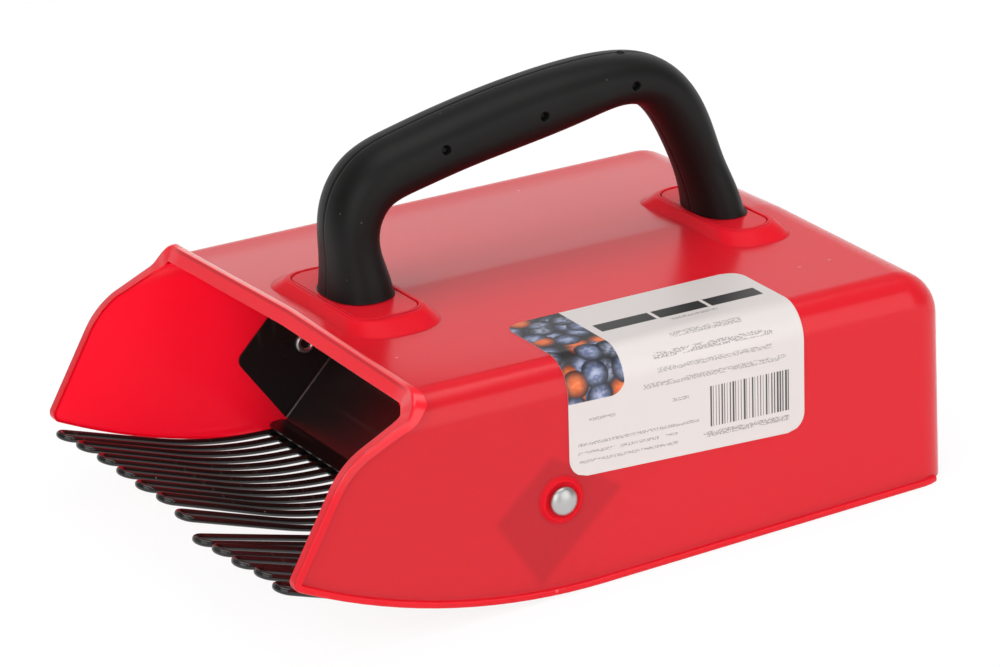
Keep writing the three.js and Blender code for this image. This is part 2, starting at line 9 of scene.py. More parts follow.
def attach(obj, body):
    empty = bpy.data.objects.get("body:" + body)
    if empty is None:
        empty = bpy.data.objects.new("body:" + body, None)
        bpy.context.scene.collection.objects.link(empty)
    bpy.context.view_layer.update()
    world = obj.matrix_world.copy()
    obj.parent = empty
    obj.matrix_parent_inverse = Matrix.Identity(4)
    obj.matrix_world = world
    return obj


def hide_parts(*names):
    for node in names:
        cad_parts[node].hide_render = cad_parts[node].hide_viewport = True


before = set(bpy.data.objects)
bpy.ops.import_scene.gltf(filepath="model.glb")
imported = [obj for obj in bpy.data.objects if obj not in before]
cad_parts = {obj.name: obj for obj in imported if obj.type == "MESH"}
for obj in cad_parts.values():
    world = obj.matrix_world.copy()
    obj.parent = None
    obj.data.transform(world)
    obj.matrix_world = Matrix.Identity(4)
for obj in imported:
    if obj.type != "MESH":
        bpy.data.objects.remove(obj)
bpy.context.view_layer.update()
print("frame loaded:", len(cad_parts), "nodes")

# Everything is drawn level in millimetres, nose at Y 0 and comb towards -Y, then tipped back onto the keel
tilt = {"angle": radians(4.11), "y": -115.6519, "z": 7.0184}
levelToFrame = (
    Matrix.Scale(0.001, 4)
    @ Matrix.Translation((0, tilt["y"], tilt["z"]))
    @ Matrix.Rotation(-tilt["angle"], 4, "X")
)
levelTurn = levelToFrame.to_3x3().normalized()

# Camera, in the same level drawing
cameraSetup = {
    "place": (1323.289, -580.036, 554.275),
    "right": (0.4739039, 0.880189, -0.0261234),
    "up": (-0.268515, 0.1726977, 0.9476683),
    "back": (0.8386386, -0.4420892, 0.3181861),
    "lens": 180,
    "sensor": 36,
    "clipEnd": 20,
}


def addObject(name, data):
    item = bpy.data.objects.new(name, data)
    bpy.context.scene.collection.objects.link(item)
    return item


def addCamera():
    data = bpy.data.cameras.new("camera")
    data.lens = cameraSetup["lens"]
    data.sensor_width = cameraSetup["sensor"]
    data.clip_end = cameraSetup["clipEnd"]
    camera = addObject("camera", data)
    axes = Matrix((cameraSetup["right"], cameraSetup["up"], cameraSetup["back"])).transposed()
    place = levelToFrame @ Vector(cameraSetup["place"])
    camera.matrix_world = Matrix.Translation(place) @ (levelTurn @ axes).to_4x4()
    bpy.context.scene.camera = camera


addCamera()
print("camera placed")

# Hood sizes, which its red plastic needs too
hood = {
    "halfWidth": 88.8,
    "wall": 2.4,
    "edgeRadius": 11.0,
    "rearY": 229.0,
    "rearDraft": 1.15,
    "rearRadius": 14.0,
    "topAt": (39.3, 71.2),
    "topSlope": radians(2.33),
    "crownDrop": 1.3,
    "rimRaise": 1.4,
    "rimWidth": 2.9,
    "headerRaise": 2.5,
    "headerRadius": 9.0,
    "headerWidth": 5.33,
    "keelRimWidth": 2.2,
    "rimEnd": 6.0,
    "rimStep": 6.0,
    "widensFrom": 14.0,
    "widensOver": 14.0,
    "cheekEnd": 40.0,
    "nose": (-1.2, 19.9, 3.0),
    "knee": (18.3, 55.1, 28.0),
    "brow": (39.3, 65.0, 5.0),
    "riserSlope": radians(62),
    "keel": (52.0, -3.28, 212.0),
    "rearFootHalf": 80.25,
    "overrun": 30.0,
}
innerHalf = hood["halfWidth"] - hood["wall"]
flatHalf = hood["halfWidth"] - hood["edgeRadius"]
topTan = tan(hood["topSlope"])
topUp = (0.0, -sin(hood["topSlope"]), cos(hood["topSlope"]))
floorTan = tan(tilt["angle"])
crownAngle = atan(hood["crownDrop"] / flatHalf)


def topZ(y):
    return hood["topAt"][1] + (y - hood["topAt"][0]) * topTan


# Short calls that add nodes to one tree
class Nodes:
    def __init__(self, tree):
        self.tree = tree

    def fill(self, node, inputs):
        for name, value in inputs.items():
            if isinstance(value, bpy.types.NodeSocket):
                self.tree.links.new(value, node.inputs[name])
            else:
                node.inputs[name].default_value = value

    def add(self, kind, inputs=None, **settings):
        node = self.tree.nodes.new("ShaderNode" + kind)
        for name, value in settings.items():
            setattr(node, name, value)
        self.fill(node, inputs or {})
        return node

    def math(self, operation, *values, clamp=False):
        return self.add("Math", dict(enumerate(values)), operation=operation, use_clamp=clamp).outputs[0]

    def times(self, first, *others):
        for other in others:
            first = self.math("MULTIPLY", first, other)
        return first

    def plus(self, a, b, clamp=False):
        return self.math("ADD", a, b, clamp=clamp)

    def minus(self, a, b, clamp=False):
        return self.math("SUBTRACT", a, b, clamp=clamp)

    def scaleAdd(self, value, factor, extra):
        return self.math("MULTIPLY_ADD", value, factor, extra)

    def fade(self, value, low, high, toLow=0.0, toHigh=1.0):
        # Smooth change from toLow to toHigh while the value goes from low to high
        inputs = {"Value": value, "From Min": low, "From Max": high, "To Min": toLow, "To Max": toHigh}
        return self.add("MapRange", inputs, interpolation_type="SMOOTHSTEP").outputs["Result"]

    def noise(self, place, scale, detail, roughness=0.5):
        inputs = {"Vector": place, "Scale": scale, "Detail": detail, "Roughness": roughness}
        return self.add("TexNoise", inputs).outputs["Fac"]

    def mix(self, factor, a, b, blend="MIX"):
        return self.add("Mix", {0: factor, 6: a, 7: b}, data_type="RGBA", blend_type=blend).outputs[2]

    def dim(self, colour, factor):
        grey = self.add("CombineColor", {"Red": factor, "Green": factor, "Blue": factor})
        return self.mix(1.0, colour, grey.outputs[0], "MULTIPLY")

    def effect(self, group, *values):
        # Places a shared effect, with the values in the order of the group's inputs
        return self.add("Group", dict(enumerate(values)), node_tree=group).outputs[0]


# Shared effects: each takes a place and some numbers, and gives one number
def makeEffect(name, numbers, result, build):
    group = bpy.data.node_groups.new(name, "ShaderNodeTree")
    group.interface.new_socket("Place", in_out="INPUT", socket_type="NodeSocketVector")
    for label, value in numbers.items():
        group.interface.new_socket(label, in_out="INPUT", socket_type="NodeSocketFloat").default_value = value
    group.interface.new_socket(result, in_out="OUTPUT", socket_type="NodeSocketFloat")
    nodes = Nodes(group)
    given = group.nodes.new("NodeGroupInput").outputs
    value = build(nodes, *given[:len(numbers) + 1])
    nodes.fill(group.nodes.new("NodeGroupOutput"), {result: value})
    return group


def buildMottle(nodes, place, scale, amount):
    coarse = nodes.noise(place, scale, detail=3.0, roughness=0.55)
    return nodes.scaleAdd(nodes.minus(coarse, 0.5), amount, 1.0)


def buildGrain(nodes, place, scale, swellScale, swell):
    slow = nodes.noise(place, swellScale, detail=1.0, roughness=0.4)
    return nodes.scaleAdd(slow, swell, nodes.noise(place, scale, detail=2.0, roughness=0.6))


def buildDust(nodes, place, scale, share):
    cells = nodes.add("TexVoronoi", {"Vector": place, "Scale": scale, "Randomness": 1.0}).outputs
    tone = nodes.add("SeparateColor", {"Color": cells["Color"]}).outputs[0]
    speck = nodes.fade(cells["Distance"], low=0.16, high=0.08)
    return nodes.times(speck, nodes.math("LESS_THAN", tone, share))


def buildScratches(nodes, place, scale, amount):
    masks = []
    for angle, stretch in ((0.4, (0.15, 6.0, 1.0)), (1.3, (0.2, 5.0, 1.0))):
        turned = nodes.add("Mapping", {"Vector": place, "Rotation": (angle, 0.3, angle), "Scale": stretch})
        line = nodes.noise(turned.outputs[0], scale, detail=1.0, roughness=0.4)
        masks.append(nodes.fade(line, low=0.68, high=0.74))
    return nodes.times(nodes.math("MAXIMUM", *masks), amount)


# Slow change of tone and gloss over a surface
mottle = makeEffect("mottle", {"Scale": 30.0, "Amount": 0.1}, "Factor", buildMottle)
# Fine height of a moulded or coated surface, with a slow swell under it
grain = makeEffect("grain", {"Scale": 1500.0, "Swell Scale": 60.0, "Swell": 0.5}, "Height", buildGrain)
# Few small pale specks
dust = makeEffect("dust", {"Scale": 220.0, "Share": 0.02}, "Mask", buildDust)
# Short hairlines of two directions
scratches = makeEffect("scratches", {"Scale": 40.0, "Amount": 0.5}, "Mask", buildScratches)


# A finish gives its mottling and scratches as (scale, amount), its specks as (scale, share, strength, colour)
# and its grain as (scale, swell scale, swell, strength, depth)
def startMaterial(name):
    material = bpy.data.materials.new(name)
    material.use_nodes = True
    material.node_tree.nodes.clear()
    nodes = Nodes(material.node_tree)
    shader = nodes.add("BsdfPrincipled")
    nodes.add("OutputMaterial", {"Surface": shader.outputs[0]})
    return material, nodes, shader, nodes.add("TexCoord").outputs["Object"]


def addSpecks(nodes, place, colour, scale, share, strength, tone):
    return nodes.mix(nodes.times(nodes.effect(dust, place, scale, share), strength), colour, tone)


def addSurface(nodes, shader, place, colour, rough, grainSetup):
    strength, depth = grainSetup[3:]
    height = nodes.effect(grain, place, *grainSetup[:3])
    bump = nodes.add("Bump", {"Height": height, "Strength": strength, "Distance": depth})
    nodes.fill(shader, {"Base Color": colour, "Roughness": rough, "Normal": bump.outputs[0]})


# Red moulded plastic. Fades are given as (from, to, value before, value after) in the drawing's millimetres.
redPlastic = {
    "colour": (0.72, 0.011, 0.023, 1),
    "deepColour": (0.60, 0.007, 0.016, 1),
    "deepShare": 0.12,
    "roughness": 0.23,
    "coatRoughness": 0.14,
    "paintedThroughGlow": (0.46, 0.0015, 0.012, 1),
    "glow": 0.6,
    "glowColour": (1.0, 0.12, 0.08),
    "glowReach": 0.004,
    "tone": (18.0, 0.35),
    "gloss": (45.0, 0.22),
    "specks": (210.0, 0.016, 0.28, (0.9, 0.5, 0.48, 1)),
    "grain": (1400.0, 26.0, 0.7, 0.05, 0.00012),
    # Painted glow (emission) on the walls' inside, in front of the steel, standing in for light through the
    # walls
    "paintedInsideGlow": (96.0, 56.0, 0.15, 1.0),
}
# The hood was moulded in two polish zones that meet on its middle line
hoodPolish = {"farCoat": 0.7, "nearCoat": 0.03, "farSide": (3.0, -6.0), "middleFade": (0.0, -60.0, 0.4, 0.85),
              "edgeFade": (-62.0, -76.0, 1.0, 0.2)}
# Painted shade on the side walls: darker where the steel flanges behind them hold back the light through the
# plastic, and darker still in front of them
paintedWallShade = {"y": 82.6, "z": 3.8, "angle": radians(43), "length": 39.0, "width": 26.5, "lean": 0.32,
             "blur": 1.6, "shade": 0.17, "wall": (80.0, 87.0), "front": (70.0, 160.0, -0.13, -0.06)}
# The header's crest is polished and carries a pale line, partly rubbed wear and mostly painted highlight; a
# painted shade line runs along its foot, and a painted glow on its front stands in for light through it
rimPolish = {
    "coat": 0.03, "polish": 0.97, "front": (56.0, 50.0), "middle": (84.0, 76.0), "crest": (-0.6, -0.2),
    "corner": (74.0, 82.0), "cornerRise": (44.0, 52.0, 0.0, 0.7), "grooveFoot": (-1.7, -1.2),
    "grooveHead": (-0.5, -0.8), "grooveShade": -0.4, "wearAndHighlight": (60.0, -40.0, 0.15, 0.6),
    "wearAndHighlightColour": (0.95, 0.58, 0.54, 1), "light": (-16.5, -6.5, 0.0, 0.24),
}


def levelPlace(nodes, place):
    # Undoes the tilt, so that masks can be given in the drawing's millimetres
    shift = Matrix.Rotation(tilt["angle"], 3, "X") @ Vector((0, -tilt["y"], -tilt["z"]))
    level = nodes.add("Mapping", {"Vector": place, "Rotation": (tilt["angle"], 0, 0), "Location": shift,
                                  "Scale": (1000, 1000, 1000)}, vector_type="POINT")
    return nodes.add("SeparateXYZ", {"Vector": level.outputs[0]}).outputs


# Painted shade: dims the side walls' colour over the flanges and towards the front
def addPaintedWallShade(nodes, colour, x, y, z):
    c, s, soft = cos(paintedWallShade["angle"]), sin(paintedWallShade["angle"]), paintedWallShade["blur"]
    length, width = paintedWallShade["length"], paintedWallShade["width"]
    dy = nodes.minus(y, paintedWallShade["y"])
    dz = nodes.minus(z, paintedWallShade["z"])
    along = nodes.scaleAdd(dy, c, nodes.times(dz, s))
    up = nodes.scaleAdd(dy, -s, nodes.times(dz, c))
    start = nodes.scaleAdd(up, -paintedWallShade["lean"] / 2, along)
    end = nodes.scaleAdd(up, paintedWallShade["lean"], along)
    flange = nodes.times(nodes.fade(start, -soft, soft), nodes.fade(end, length + soft, length - soft),
                         nodes.fade(up, -soft, soft), nodes.fade(up, width + soft, width - soft))
    dark = nodes.scaleAdd(flange, -paintedWallShade["shade"], nodes.fade(y, *paintedWallShade["front"]))
    onWall = nodes.fade(nodes.math("ABSOLUTE", x), *paintedWallShade["wall"])
    return nodes.dim(colour, nodes.scaleAdd(dark, onWall, 1.0))


# Painted glow: emission in the plastic's red, standing in for light that comes through the thin walls
def addPaintedGlow(nodes, shader, amount):
    light = nodes.dim(redPlastic["paintedThroughGlow"], amount)
    nodes.fill(shader, {"Emission Color": light, "Emission Strength": 1.0})


def addHoodPolish(nodes, shader, colour, gloss, level):
    x, y, z = level
    zone = nodes.times(nodes.fade(x, *hoodPolish["farSide"]), nodes.fade(x, *hoodPolish["middleFade"]),
                       nodes.fade(x, *hoodPolish["edgeFade"]))
    near = hoodPolish["nearCoat"]
    coat = nodes.scaleAdd(zone, hoodPolish["farCoat"] - near, near)
    nodes.fill(shader, {"Coat Weight": nodes.math("MULTIPLY", coat, gloss, clamp=True)})
    # The hood's skin also gets the painted wall shade
    return addPaintedWallShade(nodes, colour, x, y, z)


def addRimPolish(nodes, shader, colour, gloss, level):
    x, y, z = level
    side = nodes.math("ABSOLUTE", x)
    overRidge = nodes.scaleAdd(side, hood["crownDrop"] / flatHalf, nodes.scaleAdd(y, -topTan, z))
    overCrest = nodes.minus(overRidge, topZ(0) + hood["headerRaise"])
    isFront = nodes.fade(y, *rimPolish["front"])
    isMiddle = nodes.times(isFront, nodes.fade(side, *rimPolish["middle"]))
    crest = nodes.times(isMiddle, nodes.fade(overCrest, *rimPolish["crest"]))
    corner = nodes.times(nodes.fade(side, *rimPolish["corner"]), nodes.fade(z, *rimPolish["cornerRise"]))
    polish = nodes.math("MAXIMUM", crest, nodes.times(corner, isFront))
    nodes.fill(shader, {"Coat Weight": nodes.scaleAdd(polish, rimPolish["polish"], rimPolish["coat"])})
    # Painted shade: a dark line along the crest's foot, in its groove
    groove = nodes.times(nodes.fade(overCrest, *rimPolish["grooveFoot"]),
                         nodes.fade(overCrest, *rimPolish["grooveHead"]), isMiddle)
    colour = nodes.dim(colour, nodes.scaleAdd(groove, rimPolish["grooveShade"], 1.0))
    # Painted glow (emission) on the header's front, standing in for light through it
    addPaintedGlow(nodes, shader, nodes.times(isFront, nodes.fade(overCrest, *rimPolish["light"])))
    # Pale crest line, partly rubbed wear and mostly painted highlight, stronger on the far side
    return nodes.mix(nodes.times(crest, nodes.fade(x, *rimPolish["wearAndHighlight"])), colour, rimPolish["wearAndHighlightColour"])


# Painted glow on the inner skin: strong in front of the steel and faint behind it
def addPaintedInsideGlow(nodes, shader, colour, gloss, level):
    addPaintedGlow(nodes, shader, nodes.fade(level[1], *redPlastic["paintedInsideGlow"]))
    return colour


def makeRedPlastic(name, specular=0.3, addOwn=None):
    material, nodes, shader, place = startMaterial(name)
    tone = nodes.minus(1.0, nodes.effect(mottle, place, *redPlastic["tone"]))
    colour = nodes.mix(nodes.plus(tone, redPlastic["deepShare"], clamp=True), redPlastic["colour"],
                       redPlastic["deepColour"])
    colour = addSpecks(nodes, place, colour, *redPlastic["specks"])
    gloss = nodes.effect(mottle, place, *redPlastic["gloss"])
    if addOwn:
        colour = addOwn(nodes, shader, colour, gloss, levelPlace(nodes, place))
    nodes.fill(shader, {
        "Specular IOR Level": specular, "Coat Roughness": redPlastic["coatRoughness"],
        "Subsurface Weight": redPlastic["glow"], "Subsurface Radius": redPlastic["glowColour"],
        "Subsurface Scale": redPlastic["glowReach"],
    })
    addSurface(nodes, shader, place, colour, nodes.times(gloss, redPlastic["roughness"]), redPlastic["grain"])
    return material


# The plainer finishes: pale patches, scratches and specks are there where a finish names them
softGrip = {
    "colour": (0.0045, 0.0043, 0.0041, 1),
    "paleColour": (0.009, 0.0086, 0.0082, 1),
    "pale": (60.0, 1.0),
    "paleFrom": 0.6,
    "roughness": 0.44,
    "specular": 0.18,
    "gloss": (70.0, 0.25),
    "specks": (420.0, 0.03, 0.12, (0.5, 0.5, 0.48, 1)),
    "grain": (2600.0, 90.0, 0.5, 0.35, 0.00012),
}
# Black powder coat of the ramp and the floor, and the thicker dip coat of the wires
powderCoat = {
    "colour": (0.011, 0.0103, 0.010, 1),
    "scratches": (45.0, 0.3),
    "scratchColour": (0.05, 0.048, 0.046, 1),
    "scratchRoughness": 0.3,
    "roughness": 0.3,
    "gloss": (80.0, 0.5),
    "specks": (380.0, 0.03, 0.3, (0.4, 0.38, 0.36, 1)),
    "grain": (1500.0, 120.0, 0.6, 0.3, 0.0001),
}
wireCoat = {**powderCoat, "roughness": 0.1, "grain": (700.0, 120.0, 0.6, 0.25, 0.0001)}
# Zinc plated rivets and screws
brightSteel = {
    "colour": (0.5035, 0.5005, 0.49025, 1),
    "metallic": 1.0,
    "scratches": (160.0, 0.6),
    "scratchColour": (0.4865, 0.4835, 0.471125, 1),
    "scratchRoughness": 0.0,
    "roughness": 0.36,
    "gloss": (500.0, 0.5),
    "grain": (1300.0, 420.0, 1.5, 0.3, 0.0001),
}


def makeFinish(name, finish):
    material, nodes, shader, place = startMaterial(name)
    colour = finish["colour"]
    rough = nodes.times(nodes.effect(mottle, place, *finish["gloss"]), finish["roughness"])
    if "pale" in finish:
        pale = nodes.minus(nodes.effect(mottle, place, *finish["pale"]), finish["paleFrom"], clamp=True)
        colour = nodes.mix(pale, colour, finish["paleColour"])
    if "scratches" in finish:
        marks = nodes.effect(scratches, place, *finish["scratches"])
        colour = nodes.mix(marks, colour, finish["scratchColour"])
        rough = nodes.scaleAdd(marks, finish["scratchRoughness"], rough)
    if "specks" in finish:
        colour = addSpecks(nodes, place, colour, *finish["specks"])
    nodes.fill(shader, {"Metallic": finish.get("metallic", 0.0),
                        "Specular IOR Level": finish.get("specular", 0.5)})
    addSurface(nodes, shader, place, colour, rough, finish["grain"])
    return material


# Label film. Its print is a plain ruled form with a patch of round berries, and holds no letters or signs.
labelPrint = {
    "film": (0.67, 0.618, 0.60, 1),
    "grey": (0.16, 0.155, 0.15, 1),
    "dark": (0.022, 0.021, 0.022, 1),
    "tone": (25.0, 0.05),
    "gloss": (60.0, 0.3),
    "roughness": 0.36,
    "grain": (900.0, 70.0, 1.5, 0.15, 0.00008),
    "blur": 0.0012,
    # Lines of unreadable strokes: v, half height, from u, to u, strength
    "lines": (
        (0.655, 0.01, 0.54, 0.735, 0.75), (0.531, 0.014, 0.472, 0.77, 0.62), (0.452, 0.014, 0.37, 0.873, 0.66),
        (0.392, 0.01, 0.376, 0.861, 0.55), (0.333, 0.011, 0.315, 0.921, 0.58),
        (0.25, 0.007, 0.436, 0.503, 0.7), (0.243, 0.007, 0.085, 0.194, 0.65),
        (0.139, 0.0065, 0.036, 0.545, 0.62), (0.101, 0.0065, 0.036, 0.455, 0.62),
        (0.063, 0.0065, 0.042, 0.455, 0.62), (0.069, 0.012, 0.564, 0.933, 0.7),
    ),
    # Noise of the strokes and of the gaps between them: where ink starts and where it is full
    "strokeScale": 150.0,
    "strokes": (0.42, 0.56),
    "wordScale": 22.0,
    "words": (0.34, 0.38),
    # Plain dark blocks along the head, then a block of narrow bars, one in each column and of uneven width
    "blocks": ((0.738, 0.044, 0.27, 0.50), (0.738, 0.044, 0.515, 0.72), (0.738, 0.044, 0.735, 0.955)),
    "tally": (0.1875, 0.0875, 0.59, 0.933),
    "tallyColumns": 84.0,
    "tallyStrength": 0.92,
    "narrowBar": 0.16,
    "wideBar": 0.76,
    # Patch of berries, then each layer's scale, shift and berry size
    "patchWidth": 0.236,
    "patchFoot": 0.326,
    "patchCorner": 0.065,
    "patchBlur": 0.002,
    "berryLayers": ((10.8, 0.3, 0.62), (8.6, 7.7, 0.5)),
    "berryEdge": 0.06,
    "ground": (0.014, 0.012, 0.014, 1),
    "shadow": (0.01, 0.01, 0.014, 1),
    "blueSkin": (0.10, 0.14, 0.30, 1),
    "blueBloom": (0.55, 0.58, 0.72, 1),
    "orangeSkin": (0.80, 0.12, 0.012, 1),
    "orangeBloom": (1.0, 0.5, 0.2, 1),
    "orangeFrom": 0.66,
    "blackSkin": (0.018, 0.03, 0.05, 1),
    "blackBelow": 0.25,
    "patchyScale": 42.0,
    "patchyBloom": (0.36, 0.62, 0.1, 0.62),
}


def addBerries(nodes, uv, colour, scale, shift, size):
    spot = nodes.add("Mapping", {"Vector": uv, "Location": (shift, shift, 0), "Scale": (1.0, 0.87, 1.0)})
    cells = nodes.add("TexVoronoi", {"Vector": spot.outputs[0], "Scale": scale, "Randomness": 0.75},
                      voronoi_dimensions="2D").outputs
    kind = nodes.add("SeparateColor", {"Color": cells["Color"]}).outputs[0]
    isOrange = nodes.math("GREATER_THAN", kind, labelPrint["orangeFrom"])
    isBlack = nodes.math("LESS_THAN", kind, labelPrint["blackBelow"])
    skin = nodes.mix(isOrange, labelPrint["blueSkin"], labelPrint["orangeSkin"])
    skin = nodes.mix(nodes.times(isBlack, 0.8), skin, labelPrint["blackSkin"])
    light = nodes.fade(cells["Distance"], size, 0.0)
    patchy = nodes.fade(nodes.noise(uv, labelPrint["patchyScale"], 1.0), *labelPrint["patchyBloom"])
    # Orange berries have less bloom
    bloom = nodes.times(nodes.math("POWER", light, 1.4), patchy, nodes.scaleAdd(isOrange, -0.6, 1.0))
    skin = nodes.mix(bloom, nodes.mix(light, labelPrint["shadow"], skin),
                     nodes.mix(isOrange, labelPrint["blueBloom"], labelPrint["orangeBloom"]))
    return nodes.mix(nodes.fade(cells["Distance"], size, size - labelPrint["berryEdge"]), colour, skin)


def makeLabelFilm():
    material, nodes, shader, place = startMaterial("labelFilm")
    uv = nodes.add("UVMap", uv_map="print").outputs[0]
    u, v = nodes.add("SeparateXYZ", {"Vector": uv}).outputs[:2]
    blur = labelPrint["blur"]

    def bar(centreV, halfV, fromU, toU):
        masks = []
        for value, centre, half in ((u, (fromU + toU) / 2, (toU - fromU) / 2), (v, centreV, halfV)):
            away = nodes.math("ABSOLUTE", nodes.minus(value, centre))
            masks.append(nodes.fade(away, half + blur, half - blur))
        return nodes.times(*masks)

    spaced = nodes.add("Mapping", {"Vector": uv, "Scale": (1.0, 3.0, 1.0)}).outputs[0]
    strokes = nodes.noise(uv, labelPrint["strokeScale"], detail=1.0)
    words = nodes.noise(spaced, labelPrint["wordScale"], detail=0.0)
    printed = nodes.times(nodes.fade(strokes, *labelPrint["strokes"]), nodes.fade(words, *labelPrint["words"]))
    colour = nodes.dim(labelPrint["film"], nodes.effect(mottle, place, *labelPrint["tone"]))
    for *line, strength in labelPrint["lines"]:
        colour = nodes.mix(nodes.times(bar(*line), strength, printed), colour, labelPrint["grey"])
    for block in labelPrint["blocks"]:
        colour = nodes.mix(bar(*block), colour, labelPrint["dark"])

    columns = nodes.times(u, labelPrint["tallyColumns"])
    chance = nodes.add("TexWhiteNoise", {"W": nodes.math("FLOOR", columns)}, noise_dimensions="1D")
    narrow, spread = labelPrint["narrowBar"], labelPrint["wideBar"] - labelPrint["narrowBar"]
    width = nodes.scaleAdd(nodes.math("POWER", chance.outputs["Value"], 1.6), spread, narrow)
    ruled = nodes.math("LESS_THAN", nodes.math("FRACT", columns), width)
    tally = nodes.times(bar(*labelPrint["tally"]), ruled, labelPrint["tallyStrength"])
    colour = nodes.mix(tally, colour, labelPrint["dark"])

    wide, foot, soft = labelPrint["patchWidth"], labelPrint["patchFoot"], labelPrint["patchBlur"]
    corner = labelPrint["patchCorner"]
    du = nodes.math("MAXIMUM", nodes.minus(u, wide - corner), 0.0)
    dv = nodes.math("MAXIMUM", nodes.minus(foot + corner, v), 0.0)
    reach = nodes.math("SQRT", nodes.plus(nodes.times(du, du), nodes.times(dv, dv)))
    patch = nodes.times(nodes.fade(u, wide + soft, wide - soft), nodes.fade(v, foot - soft, foot + soft),
                        nodes.fade(reach, corner + soft, corner - soft))
    berries = labelPrint["ground"]
    for layer in labelPrint["berryLayers"]:
        berries = addBerries(nodes, uv, berries, *layer)
    colour = nodes.mix(patch, colour, berries)
    rough = nodes.times(nodes.effect(mottle, place, *labelPrint["gloss"]), labelPrint["roughness"])
    addSurface(nodes, shader, place, colour, rough, labelPrint["grain"])
    return material


materials = {
    "hood": makeRedPlastic("redHood", addOwn=addHoodPolish),
    "rim": makeRedPlastic("redRim", specular=0.2, addOwn=addRimPolish),
    "collar": makeRedPlastic("redCollar", specular=0.05),
    "inside": makeRedPlastic("redInside", addOwn=addPaintedInsideGlow),
    "red": makeRedPlastic("redFoot", specular=0.13),
    "grip": makeFinish("softGrip", softGrip),
    "steel": makeFinish("blackSteel", powderCoat),
    "wire": makeFinish("blackWire", wireCoat),
    "bright": makeFinish("brightSteel", brightSteel),
    "label": makeLabelFilm(),
}
print("materials made")


# Mesh helpers. Pieces are made of skins: points with their own normals, so that sharp edges are split points.
leastBend = 0.3  # radius that a corner keeps when an inset makes it tighter
arcSteps = 16  # steps of each rounded corner of the hood's side outline


def unit(vectors):
    vectors = np.asarray(vectors, float)
    return vectors / np.maximum(np.linalg.norm(vectors, axis=-1, keepdims=True), 1e-12)


def faceSpin(points, face):
    # Normal of a face, as long as twice its area
    corners = points[list(face)]
    corners = corners - corners.mean(axis=0)
    x, y, z = corners[:, 0], corners[:, 1], corners[:, 2]
    nx, ny, nz = np.roll(x, -1), np.roll(y, -1), np.roll(z, -1)
    return np.array([(y * nz - z * ny).sum(), (z * nx - x * nz).sum(), (x * ny - y * nx).sum()])


def softNormals(points, faces):
    normals = np.zeros_like(points)
    for face in faces:
        normals[list(face)] += faceSpin(points, face)
    return unit(normals)


class Skins:
    def __init__(self):
        self.points, self.normals, self.faces, self.prints = [], [], [], []

    def add(self, points, faces, normals=None, prints=None):
        # Faces are turned to look along the given normals, or else away from the skin's middle
        start = len(self.points)
        points = np.asarray(points, float)
        hints = points - points.mean(axis=0) if normals is None else np.asarray(normals, float)
        votes = sum(float(faceSpin(points, face) @ hints[list(face)].mean(axis=0)) for face in faces)
        if votes < 0:
            faces = [tuple(reversed(face)) for face in faces]
        if normals is None:
            normals = softNormals(points, faces)
        self.points.extend(points.tolist())
        self.normals.extend(np.asarray(normals, float).tolist())
        self.prints.extend(prints or [(0.0, 0.0)] * len(points))
        self.faces.extend([tuple(start + i for i in face) for face in faces])

    def addGrid(self, rows, normals=None, closedRows=False, prints=None):
        rows = np.asarray(rows, float)
        count, width = rows.shape[:2]
        faces = []
        for i in range(count - 1):
            for j in range(width if closedRows else width - 1):
                a, b = i * width + j, i * width + (j + 1) % width
                faces.append((a, b, b + width, a + width))
        flat = None if normals is None else np.asarray(normals, float).reshape(-1, 3)
        self.add(rows.reshape(-1, 3), faces, flat, prints)

    def addTube(self, rows):
        self.addGrid(rows, closedRows=True)

    def addPlate(self, outline, normal):
        self.add(outline, [tuple(range(len(outline)))], [normal] * len(outline))

    def addStrip(self, top, bottom, hint):
        rows = np.array([top, bottom], float)
        across = rows[1] - rows[0]
        lean = unit(np.cross(np.gradient(rows, axis=1), np.stack([across, across])))
        lean *= np.where((lean @ hint) < 0, -1, 1)[..., None]
        self.addGrid(rows, lean)

    def addSheet(self, rows, thickness, normals=None, prints=None):
        # A sheet is drawn as its upper face and gets its thickness below it
        rows = np.asarray(rows, float)
        if normals is None:
            normals = unit(np.cross(np.gradient(rows, axis=0), np.gradient(rows, axis=1)))
        under = rows - normals * thickness
        self.addGrid(rows, normals, prints=prints)
        self.addGrid(under, -normals)
        for edge, nextEdge in ((0, 1), (-1, -2)):
            self.addStrip(rows[edge], under[edge], (rows[edge] - rows[nextEdge]).mean(axis=0))
            self.addStrip(rows[:, edge], under[:, edge], (rows[:, edge] - rows[:, nextEdge]).mean(axis=0))


def buildPiece(name, skins, material, slotName, *replaced, isPrinted=False):
    mesh = bpy.data.meshes.new(name)
    mesh.from_pydata(skins.points, [], skins.faces)
    mesh.transform(levelToFrame)
    mesh.polygons.foreach_set("use_smooth", [True] * len(mesh.polygons))
    if isPrinted:
        layer = mesh.uv_layers.new(name="print")
        for loop in mesh.loops:
            layer.data[loop.index].uv = skins.prints[loop.vertex_index]
    mesh.normals_split_custom_set_from_vertices([levelTurn @ Vector(n) for n in skins.normals])
    mesh.materials.append(materials[material])
    piece = addObject(name, mesh)
    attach(piece, "root")
    if replaced:
        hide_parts(*replaced)


